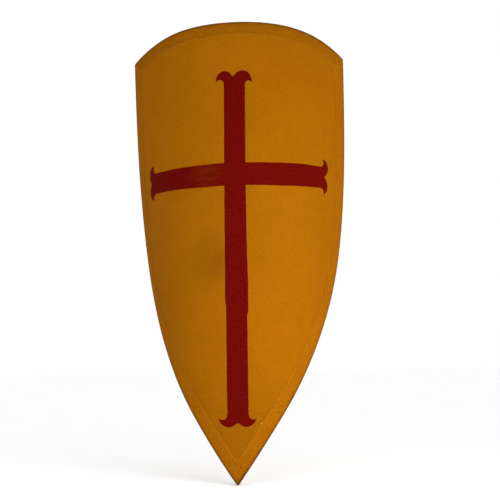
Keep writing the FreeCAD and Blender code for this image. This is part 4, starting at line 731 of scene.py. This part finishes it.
RUNS = [
    ("curve", TOP_LEFT), ("curve", TOP_LOBE_L), ("curve", TOP_LOBE_R), ("curve", TOP_RIGHT),
    ("lines", [(25.2, 737.6), (24.6, 700.0), (23.6, 590.2), (85.0, 590.0), (137.0, 590.2), (174.0, 588.6)]),
    ("curve", RIGHT_TOP), ("curve", RIGHT_LOBE_T), ("curve", RIGHT_LOBE_B), ("curve", RIGHT_BOT),
    ("lines", [(173.6, 548.0), (136.0, 547.5), (85.0, 546.8), (23.4, 547.8), (23.6, 430.0), (24.6, 372.0), (24.4, 313.0), (22.2, 308.5), (21.7, 130.0)]),
    ("curve", FOOT_RIGHT), ("curve", FOOT_LOBE_R), ("curve", FOOT_LOBE_L), ("curve", FOOT_LEFT),
    ("lines", [(-17.3, 130.0), (-16.9, 326.0), (-18.4, 331.0), (-17.9, 400.0), (-16.7, 547.6), (-58.0, 547.2), (-113.0, 548.2), (-173.0, 548.2)]),
    ("curve", LEFT_BOT), ("curve", LEFT_LOBE_B), ("curve", LEFT_LOBE_T), ("curve", LEFT_TOP),
    ("lines", [(-174.5, 587.7), (-113.0, 588.8), (-57.0, 589.6), (-16.4, 590.4), (-15.2, 690.0), (-14.8, 738.0)]),
]


def smooth_run(pts, step=0.8):
    ts = [0.0]
    for a, b in zip(pts[:-1], pts[1:]):
        ts.append(ts[-1] + math.hypot(b[0] - a[0], b[1] - a[1]))
    fx, fy = spline(ts, [p[0] for p in pts]), spline(ts, [p[1] for p in pts])
    n = max(2, int(ts[-1] / step))
    return [(fx(ts[-1] * i / n)[0], fy(ts[-1] * i / n)[0]) for i in range(n)]


def straight_run(pts, step=1.2):
    out = []
    for a, b in zip(pts[:-1], pts[1:]):
        d = math.hypot(b[0] - a[0], b[1] - a[1])
        n = max(1, int(d / step))
        for i in range(n):
            x, y = a[0] + (b[0] - a[0]) * i / n, a[1] + (b[1] - a[1]) * i / n
            # a hand-held brush: the edge wanders a little
            off = 0.42 * wave(x / 16.0, y / 16.0, 0.0, 8) + 0.16 * wave(x / 4.0, y / 4.0, 0.0, 9)
            nx, ny = -(b[1] - a[1]) / d, (b[0] - a[0]) / d
            edge = min(i, n - i) * step
            k = min(1.0, edge / 4.0)
            out.append((x + nx * off * k, y + ny * off * k))
    return out


outline = []
for kind, pts in RUNS:
    outline += smooth_run(pts) if kind == "curve" else straight_run(pts)
ring = np.array(outline)
inside = []
for gz in np.arange(104.0, 768.0, 3.1):
    for gs in np.arange(-198.0, 198.0, 3.1):
        in_bar = -19 < gs < 26 or (545 < gz < 592)
        in_end = (735 < gz < 768 and -31 < gs < 40) or (103 < gz < 135 and -36 < gs < 38) or (534 < gz < 604 and (gs < -170 or gs > 170))
        if (in_bar or in_end) and np.min(np.hypot(ring[:, 0] - gs, ring[:, 1] - gz)) > 1.5:
            inside.append((gs + 0.35 * math.sin(gz), gz))
pts2 = [Vector(p) for p in outline] + [Vector(p) for p in inside]
loop = [(i, (i + 1) % len(outline)) for i in range(len(outline))]
vo, _, fo, vmap, _, _ = geometry.delaunay_2d_cdt(pts2, loop, [], 1, 1e-5)
vo = np.array([(v.x, v.y) for v in vo])
edge_of = np.array([np.min(np.hypot(ring[:, 0] - x, ring[:, 1] - y)) for x, y in vo])
FILM = 0.17
lift = np.array([0.12 - 0.5 * relief(x, y) for x, y in vo])
thick = FILM * np.clip(0.55 + edge_of / 2.0, 0.0, 1.0)
topv = on_board(vo[:, 0], vo[:, 1], lift - thick)
botv = on_board(vo[:, 0], vo[:, 1], lift + 0.12)
n = len(vo)
count = {}
for f in fo:
    for a, b in zip(f, f[1:] + f[:1]):
        count[(min(a, b), max(a, b))] = count.get((min(a, b), max(a, b)), 0) + 1
faces = [tuple(f) for f in fo] + [tuple(i + n for i in reversed(f)) for f in fo]
for f in fo:
    for a, b in zip(f, f[1:] + f[:1]):
        if count[(min(a, b), max(a, b))] == 1:
            faces.append((b, a, a + n, b + n))
surf = np.stack([vo[:, 0], vo[:, 1], 0 * vo[:, 0]], -1) * MM
rimv = np.stack([edge_of, 0 * edge_of, 0 * edge_of], -1) * MM
make("cross_paint", row(np.concatenate([topv, botv])), faces, "board", M_RED,
     {"surf": np.concatenate([surf, surf]), "rim": np.concatenate([rimv, rimv])}, ("painted_cross",))


# =====================================================================================================
# Rim binding: a folded strip with a soft lip, in four lengths
# =====================================================================================================
def rim_profile():
    """Closed section of the folded strip: (in from the edge, depth, side), from the front lip round to the back lip and back."""
    out = []
    W, T = 25.9, 1.0
    lo, hi = -0.1, BACK + 0.1

    def skive(d):
        """Thickness of the leather, pared down towards its inner edge."""
        q = min(1.0, max(0.0, (d - 5.0) / 19.0))
        return T - 0.60 * q * q * (3 - 2 * q)

    r = skive(W) / 2
    for i in range(7):
        t = math.pi / 2 - math.pi * i / 6
        out.append((W - r + r * math.cos(t), lo - r + r * math.sin(t), 0))
    for d in (24.2, 23.0, 21.0, 18.0, 15.0, 12.0, 9.0, 6.5, 4.0):
        out.append((d, lo - skive(d), 0))
    for i in range(7):
        t = math.radians(15 * i)
        out.append((3 - 3 * math.sin(t), lo - T + 3 - 3 * math.cos(t), 0))
    for o in (4.0, 6.2):
        out.append((0.0, o, 1))
    for i in range(6, -1, -1):
        t = math.radians(15 * i)
        out.append((3 - 3 * math.sin(t), hi + T - 3 + 3 * math.cos(t), 2))
    for d in (4.0, 6.5, 9.0, 12.0, 15.0, 18.0, 21.0, 23.0, 24.2):
        out.append((d, hi + skive(d), 2))
    for i in range(7):
        t = math.pi / 2 - math.pi * i / 6
        out.append((W - r + r * math.cos(t), hi + r + r * math.sin(t), 2))
    for d in (20.0, 12.0, 5.0):
        out.append((d, hi, 3))
    for i in range(5):
        t = math.radians(22.5 * i)
        out.append((3 - 2 * math.sin(t), hi - 2 + 2 * math.cos(t), 3))
    for i in range(4, -1, -1):
        t = math.radians(22.5 * i)
        out.append((3 - 2 * math.sin(t), lo + 2 - 2 * math.cos(t), 3))
    for d in (5.0, 12.0, 20.0):
        out.append((d, lo, 3))
    return out


PROFILE = rim_profile()


def rim_piece(name, node, kind, sign=1, s_from=None, s_to=None, stations=230):
    cols, attr = [], []
    for d, o, part in PROFILE:
        line, at = [], []
        if kind == "side":
            lo = root(lambda q: side_in(q, d)[0] - 0.05, -6.0, 120.0)
            hi = corner_z[sign](d)[0] - 0.05
        else:
            lo = corner_s[-1](d)[0] + 0.05 if s_from is None else root(lambda q: top_in(q, d)[0] - s_from, -300.0, 300.0)
            hi = corner_s[1](d)[0] - 0.05 if s_to is None else root(lambda q: top_in(q, d)[0] - s_to, -300.0, 300.0)
        for i in range(stations + 1):
            t = lo + (hi - lo) * i / stations
            at_end = min(i, stations - i) / 4.0
            fade = min(1.0, at_end)
            seed = 20 + sign if kind == "side" else 30
            dd, oo = d, o
            if part in (0, 2) and d > 20:
                # the cut edge of the strip wanders slightly
                dd = d + fade * (0.42 * wave(t / 24.0, part * 5.0, 0, seed) + 0.16 * wave(t / 7.0, part * 5.0, 0, seed + 1)) * (d - 20) / 5.9
            if part in (0, 2) and 2.0 < d:
                puff = 0.11 * wave(t / 20.0, d / 9.0, part, seed + 2) + 0.05 * wave(t / 7.0, d / 4.0, part, seed + 3)
                oo = o + (-abs(puff) if part == 0 else abs(puff)) * fade * 0.6
            if kind == "side":
                s, z = side_in(t, dd)
                s *= sign
            else:
                s, z = top_in(t, dd)
            line.append(on_board(np.float64(s), np.float64(max(z, 2.3)), oo))
            at.append((t, dd, part * 10.0))
        cols.append(line)
        attr.append(at)
    grid = np.array(cols)
    attr = np.array(attr)
    m, n = grid.shape[:2]
    verts = grid.reshape(-1, 3)
    faces = []
    for i in range(m):
        a, b = i * n, ((i + 1) % m) * n
        for j in range(n - 1):
            faces.append((a + j, a + j + 1, b + j + 1, b + j))
    # end caps: a strip of quads between the outer and the inner chain
    half = [i for i, p in enumerate(PROFILE) if p[2] != 3]
    inner = [i for i, p in enumerate(PROFILE) if p[2] == 3][::-1]
    for j in (0, n - 1):
        loop_ = [i * n + j for i in range(m)]
        a, b = 0, len(inner) - 1
        oi = [i * n + j for i in half]
        ii = [i * n + j for i in inner]
        x = y = 0
        while x < len(oi) - 1 or y < len(ii) - 1:
            if y == len(ii) - 1 or (x < len(oi) - 1 and x / (len(oi) - 1) <= y / (len(ii) - 1)):
                faces.append((oi[x], oi[x + 1], ii[y]))
                x += 1
            else:
                faces.append((ii[y + 1], ii[y], oi[x]))
                y += 1
    return make(name, row(verts), faces, "board", M_RIM, {"strip": attr.reshape(-1, 3) * MM, "kind": np.tile([1.0 if kind == "top" else 0.0, 0.0, 0.0], (len(verts), 1))}, (node,), 50.0)


rim_piece("rim_side_left", "binding_side_left", "side", -1)
rim_piece("rim_side_right", "binding_side_right", "side", 1)
rim_piece("rim_top_left", "binding_top_left", "top", 1, None, -97.1, 60)
rim_piece("rim_top_right", "binding_top_right", "top", 1, -96.9, None, 150)


# =====================================================================================================
# Leather straps and tabs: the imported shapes, with rounded edges and the unevenness of leather
# =====================================================================================================
def leather_piece(name, node, body, mat, place, voxel, uneven=0.12, smooth=4):
    src = NODES[node]
    tmp = bpy.data.objects.new(name + "_work", src.data.copy())
    scene.collection.objects.link(tmp)
    mod = tmp.modifiers.new("remesh", "REMESH")
    mod.mode = "VOXEL"
    mod.voxel_size = voxel
    sm = tmp.modifiers.new("smooth", "SMOOTH")
    sm.factor = 0.5
    sm.iterations = smooth
    bpy.context.view_layer.update()
    mesh = bpy.data.meshes.new_from_object(tmp.evaluated_get(bpy.context.evaluated_depsgraph_get()))
    bpy.data.objects.remove(tmp)
    mesh.name = name
    mesh.materials.clear()
    co = np.zeros(len(mesh.vertices) * 3)
    mesh.vertices.foreach_get("co", co)
    co = co.reshape(-1, 3)
    nor = np.zeros_like(co).reshape(-1)
    mesh.vertex_normals.foreach_get("vector", nor)
    nor = nor.reshape(-1, 3)
    p, a, c, b = place
    rel = co - row(p)
    loc = np.stack([rel @ np.array(a), rel @ np.array(c), rel @ np.array(b)], -1)
    amp = np.array([wave(q[0] * 55, q[1] * 70, q[2] * 55, 40) + 0.5 * wave(q[0] * 160, q[1] * 160, q[2] * 160, 41) for q in loc])
    co = co + nor * (amp * uneven * MM)[:, None]
    mesh.vertices.foreach_set("co", co.reshape(-1))
    add_attribute(mesh, "loc", loc)
    for q in mesh.polygons:
        q.use_smooth = True
    mesh.materials.append(mat)
    mesh.update()
    obj = bpy.data.objects.new(name, mesh)
    scene.collection.objects.link(obj)
    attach(obj, body)
    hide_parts(node)
    return obj


FORE_AT, HAND_AT = frame_at(FORE, 545.0), frame_at(HAND, 590.0)
leather_piece("forearm_leather_long", "forearm_strap_upper", "board", M_STRAP, FORE_AT, 0.0007)
leather_piece("forearm_leather_short", "forearm_strap_lower", "board", M_STRAP, FORE_AT, 0.0007)
leather_piece("hand_leather", "hand_strap", "board", M_HAND, HAND_AT, 0.0008)
p, a, c, b = FORE_AT
leather_piece("keeper_leather", "forearm_strap_keeper", "board", M_KEEPER, (p + a * -21.5, a, c, b), 0.0005, 0.06)
for side, sgn in (("left", -1), ("right", 1)):
    leather_piece("tab_leather_" + side, "guige_tab_" + side, "board", M_TAB, frame_at(sgn * TAB, 738.0, True), 0.00055, 0.06)


# =====================================================================================================
# Stitches: short rounded threads that dip into the leather at both ends
# =====================================================================================================
def stitch_mesh(ends, ups, r, arch):
    """Rounded threads from a to b for each pair in ends, bowed out along its up vector."""
    verts, faces = [], []
    for (a, b), up in zip(ends, ups):
        a, b, up = Vector(a), Vector(b), Vector(up).normalized()
        d = (b - a).normalized()
        side = d.cross(up).normalized()
        base = len(verts)
        m, k = 7, 6
        for i in range(m):
            t = i / (m - 1)
            rr = r * (0.35 if i in (0, m - 1) else 0.85 if i in (1, m - 2) else 1.0)
            q = a.lerp(b, t) + up * (arch * math.sin(math.pi * t) - r * 0.5 * (1 - math.sin(math.pi * t)))
            for j in range(k):
                w = 2 * math.pi * j / k
                verts.append(q + side * (rr * math.cos(w)) + up * (rr * math.sin(w)))
        for i in range(m - 1):
            for j in range(k):
                p0 = base + i * k + j
                p1 = base + i * k + (j + 1) % k
                faces.append((p0, p1, p1 + k, p0 + k))
        faces.append(tuple(base + j for j in reversed(range(k))))
        faces.append(tuple(base + (m - 1) * k + j for j in range(k)))
    return verts, faces


# =====================================================================================================
# Arm pad: a stuffed leather cover, held at its flange by tacks
# =====================================================================================================
PAD_W, PAD_H, PAD_Z = 92.0, 74.0, 568.0
Q70 = math.sqrt(0.70)


def squircle(u, v):
    return u * math.sqrt(1 - 0.30 * v * v), v * math.sqrt(1 - 0.30 * u * u)


def plateau(x):
    x = abs(x)
    if x >= 0.86:
        return 0.0
    q = min(1.0, (0.86 - x) / 0.50)
    return q * q * (3 - 2 * q)


tack_uv = []
for i in range(6):
    q = -0.80 + 1.60 * i / 5
    tack_uv += [(q * 0.86, 0.86 * 0.935), (q * 0.86, -0.86 * 0.935)]
for i in range(5):
    q = -0.62 + 1.24 * i / 4
    tack_uv += [(0.86 * 0.945, q * 0.86), (-0.86 * 0.945, q * 0.86)]


def pad_sz(u, v):
    a, b = squircle(u, v)
    return a * PAD_W / Q70, PAD_Z + b * PAD_H / Q70


TACKS = np.array([pad_sz(u, v) for u, v in tack_uv])


def pad_height(u, v):
    """Height of the cover's outside over the lining."""
    s, z = pad_sz(u, v)
    base = 0.15 + 1.4
    swell = 13.0 * plateau(u) * plateau(v)
    # the swell ends at a line just inside the flange
    m = max(abs(u), abs(v)) / 0.86
    h = base + swell
    d = np.hypot(TACKS[:, 0] - s, TACKS[:, 1] - z)
    near = float(np.min(d))
    dimple = math.exp(-((near / 6.5) ** 2))
    # folds that run in from the tacks
    ang = math.atan2(v, u)
    fold = 0.0
    if 0.55 < m < 1.0:
        lift = math.sin(math.pi * (m - 0.55) / 0.45)
        fold = 0.55 * lift * (1 - math.exp(-((near / 11.0) ** 2)))
    lump = 0.30 + 0.75 * wave(u * 2.3, v * 2.3, 0, 50) + 0.35 * wave(u * 6.0, v * 6.0, 0, 51)
    h += fold + lump * min(1.0, swell / 5.0)
    return h - 0.35 * dimple


N = 88
K1 = 0.86
U = np.linspace(-K1, K1, N + 1)
front = np.zeros((N + 1, N + 1, 3))
back = np.zeros_like(front)
pad_attr = np.zeros_like(front)
for i, v in enumerate(U):
    for j, u in enumerate(U):
        s, z = pad_sz(u, v)
        d = np.hypot(TACKS[:, 0] - s, TACKS[:, 1] - z)
        m = max(abs(u), abs(v)) / K1
        # the cut edge draws in a little between the tacks
        pull = 1.0 - 0.010 * min(1.0, (float(np.min(d)) / 14.0)) * max(0.0, (m - 0.8) / 0.2)
        s2, z2 = s * pull, PAD_Z + (z - PAD_Z) * pull
        h = pad_height(u, v)
        front[i, j] = on_board(np.float64(s2), np.float64(z2), BACK + h)
        back[i, j] = on_board(np.float64(s2), np.float64(z2), BACK + 0.18 + max(0.0, h - 2.2) * 0.93)
        pad_attr[i, j] = (s2, z2 - PAD_Z, h)


def inflate(front, back, cap):
    """Lets the stuffed middle of the cover settle as cloth under pressure, with its flange held."""
    n = front.shape[0]
    verts, faces = closed_sheet(front, back)
    mesh = bpy.data.meshes.new("pad_sim")
    mesh.from_pydata([tuple(v) for v in row(verts)], [], faces)
    obj = bpy.data.objects.new("pad_sim", mesh)
    scene.collection.objects.link(obj)
    vg = obj.vertex_groups.new(name="held")
    held = []
    for i in range(n):
        for j in range(n):
            m = max(abs(U[i]), abs(U[j])) / K1
            if m > 0.86:
                held.append(i * n + j)
    held += [n * n + i for i in range(n * n)]
    vg.add(held, 1.0, "REPLACE")
    cl = obj.modifiers.new("cloth", "CLOTH")
    cl.settings.quality = 6
    cl.settings.mass = 0.3
    cl.settings.tension_stiffness = 20
    cl.settings.compression_stiffness = 8
    cl.settings.shear_stiffness = 8
    cl.settings.bending_stiffness = 2.0
    cl.settings.shrink_min = -0.045
    cl.settings.use_pressure = True
    cl.settings.uniform_pressure_force = 3.0
    cl.settings.effector_weights.gravity = 0.0
    cl.settings.vertex_group_mass = "held"
    cl.collision_settings.use_collision = False
    cl.point_cache.frame_start, cl.point_cache.frame_end = 1, 22
    for f in range(1, 23):
        scene.frame_set(f)
    ev = obj.evaluated_get(bpy.context.evaluated_depsgraph_get())
    co = np.zeros(len(mesh.vertices) * 3)
    ev.data.vertices.foreach_get("co", co)
    scene.frame_set(1)
    bpy.data.objects.remove(obj)
    moved = co.reshape(-1, 3)[: n * n] - row(front.reshape(-1, 3))
    length = np.linalg.norm(moved, axis=1)
    k = np.minimum(1.0, cap / np.maximum(length, 1e-9))
    return (moved * k[:, None]).reshape(n, n, 3)


move = inflate(front, back, 0.0035)
front_row = row(front) + move
back_row = row(back)
# the cover lies over its filling everywhere
filling = NODES["pad_filling"]
tree = BVHTree.FromPolygons([filling.matrix_world @ v.co for v in filling.data.vertices], [tuple(q.vertices) for q in filling.data.polygons])
for i in range(N + 1):
    for j in range(N + 1):
        if max(abs(U[i]), abs(U[j])) / K1 > 0.93:
            continue
        q = Vector(front_row[i, j])
        at, out_, _, dist = tree.find_nearest(q)
        deep = (q - at).dot(out_)
        if dist < 0.006 and deep < 0.0009:
            front_row[i, j] = q + out_ * (0.0009 - deep)
k = (N + 1) ** 2
verts, faces = closed_sheet(front_row, back_row)
pa = pad_attr.reshape(-1, 3) * MM
pad = make("arm_pad", verts, faces, "board", M_PAD, {"loc": np.concatenate([pa, pa])}, ("pad_cover",), 60.0)

# the row of stitches that closes the pad just inside its flange
ends, ups = [], []


def pad_point(t):
    """A point of the stitch line, t from 0 to 4 round its four sides, and the outward direction there."""
    q = 0.735
    side, f = int(t) % 4, t - int(t)
    e = -q + 2 * q * f
    u, v = ((e, -q), (q, e), (-e, q), (-q, -e))[side]
    # grid lookup on the settled surface
    x, y = (u + K1) / (2 * K1) * N, (v + K1) / (2 * K1) * N
    i, j = int(y), int(x)
    fy, fx = y - i, x - j
    g = front_row
    p = g[i, j] * (1 - fx) * (1 - fy) + g[i, j + 1] * fx * (1 - fy) + g[i + 1, j] * (1 - fx) * fy + g[i + 1, j + 1] * fx * fy
    e1 = g[i, j + 1] - g[i, j]
    e2 = g[i + 1, j] - g[i, j]
    nrm = np.cross(e2, e1)
    nrm /= np.linalg.norm(nrm)
    centre = row(on_board(np.float64(0.0), np.float64(PAD_Z), BACK + 100.0))
    if np.dot(nrm, centre - p) < 0:
        nrm = -nrm
    return p, nrm


COUNT = 104
for i in range(COUNT):
    t0, t1 = 4 * i / COUNT + 0.006, 4 * (i + 0.68) / COUNT + 0.006
    if int(t0) != int(t1):
        continue
    (p0, n0), (p1, n1) = pad_point(t0 % 4), pad_point(t1 % 4)
    ends.append((p0, p1))
    ups.append(n0 + n1)
verts, faces = stitch_mesh(ends, ups, 0.00042, 0.00030)
make("pad_stitches", verts, faces, "board", M_THREAD, None, (), 60.0)


# =====================================================================================================
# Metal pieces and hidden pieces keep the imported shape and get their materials
# =====================================================================================================
def dress(node, mat, sharp=32.0):
    o = NODES[node]
    o.data.materials.clear()
    o.data.materials.append(mat)
    for q in o.data.polygons:
        q.use_smooth = True
        q.material_index = 0


for name in ("buckle_frame", "buckle_prong", "guige_ring_left", "guige_ring_right", "fold_rivets"):
    dress(name, M_BRASS)
for name in ("pad_tacks", "binding_tacks"):
    dress(name, M_TACK)
for name in ("strap_rivets", "strap_roves", "tab_rivets", "tab_roves"):
    dress(name, M_IRON)
for name in ("core_ply_front", "core_ply_middle", "core_ply_back"):
    dress(name, M_WOOD)
dress("pad_filling", M_FELT)

# =====================================================================================================
# Floor, light and camera
# =====================================================================================================
FLOOR = -ORIGIN.z * MM + 0.0020


def stage_material():
    k = Mat("pale_floor")
    v = k.obj()
    a = k.noise(v, 6.0, 4.0, 0.6)
    col = k.mix(k.ramp(a, 0.3, 0.7), (0.985, 0.985, 0.985), (0.970, 0.970, 0.970))
    return k.set(color=col, rough=0.9, spec=0.05)


def stage_surface():
    """A wide pale floor."""
    verts, faces, n = [], [], 24
    for i in range(n + 1):
        for j in range(n + 1):
            verts.append((-60 + 120 * i / n, -60 + 120 * j / n, FLOOR))
    faces = grid_faces(n + 1, n + 1)
    mesh = bpy.data.meshes.new("floor")
    mesh.from_pydata(verts, [], [f[::-1] for f in faces])
    mesh.materials.append(stage_material())
    obj = bpy.data.objects.new("floor", mesh)
    scene.collection.objects.link(obj)


stage_surface()

world = bpy.data.worlds.new("studio")
scene.world = world
world.use_nodes = True
bg = world.node_tree.nodes["Background"]
bg.inputs[0].default_value = (1.0, 1.0, 1.0, 1.0)
bg.inputs[1].default_value = 1.0


def softbox(name, loc, radius_m, power):
    data = bpy.data.lights.new(name, "POINT")
    data.shadow_soft_size = radius_m
    data.energy = power
    obj = bpy.data.objects.new(name, data)
    scene.collection.objects.link(obj)
    obj.location = loc
    obj.visible_camera = False
    return obj


MIDDLE = Vector(row((0.0, 60.0, 430.0)))
softbox("key", MIDDLE + Vector((0.48, -0.68, -0.17)), 0.20, 17.5)

# the camera: turned and tipped about the middle of the face's centre line, then set back
YAW, PITCH, ROLL = -0.11698, -0.11276, 0.01739
BACKOFF, SIDE, UPWARD = 1892.0, -29.21, 2.97
FOCAL_PX = 1028.8
Rz = Matrix.Rotation(YAW, 3, "Z")
Rx = Matrix.Rotation(PITCH, 3, "X")
cr, sr = math.cos(ROLL), math.sin(ROLL)
Ry = Matrix(((cr, 0, -sr), (0, 1, 0), (sr, 0, cr)))
R = Ry @ Rx @ Rz
RT = R.transposed()
eye = Vector((0, 0, 430.0)) - RT @ Vector((SIDE, BACKOFF, UPWARD))
right, forward, up = RT @ Vector((1, 0, 0)), RT @ Vector((0, 1, 0)), RT @ Vector((0, 0, 1))
cam_data = bpy.data.cameras.new("camera")
cam = bpy.data.objects.new("camera", cam_data)
scene.collection.objects.link(cam)
cam_data.sensor_fit = "HORIZONTAL"
cam_data.sensor_width = 36.0
cam_data.lens = 36.0 * FOCAL_PX / 500.0
cam_data.clip_start, cam_data.clip_end = 0.05, 50.0
loc = (eye - ORIGIN) * MM
cam.matrix_world = Matrix(((right.x, up.x, -forward.x, loc.x), (right.y, up.y, -forward.y, loc.y), (right.z, up.z, -forward.z, loc.z), (0, 0, 0, 1)))
scene.camera = cam
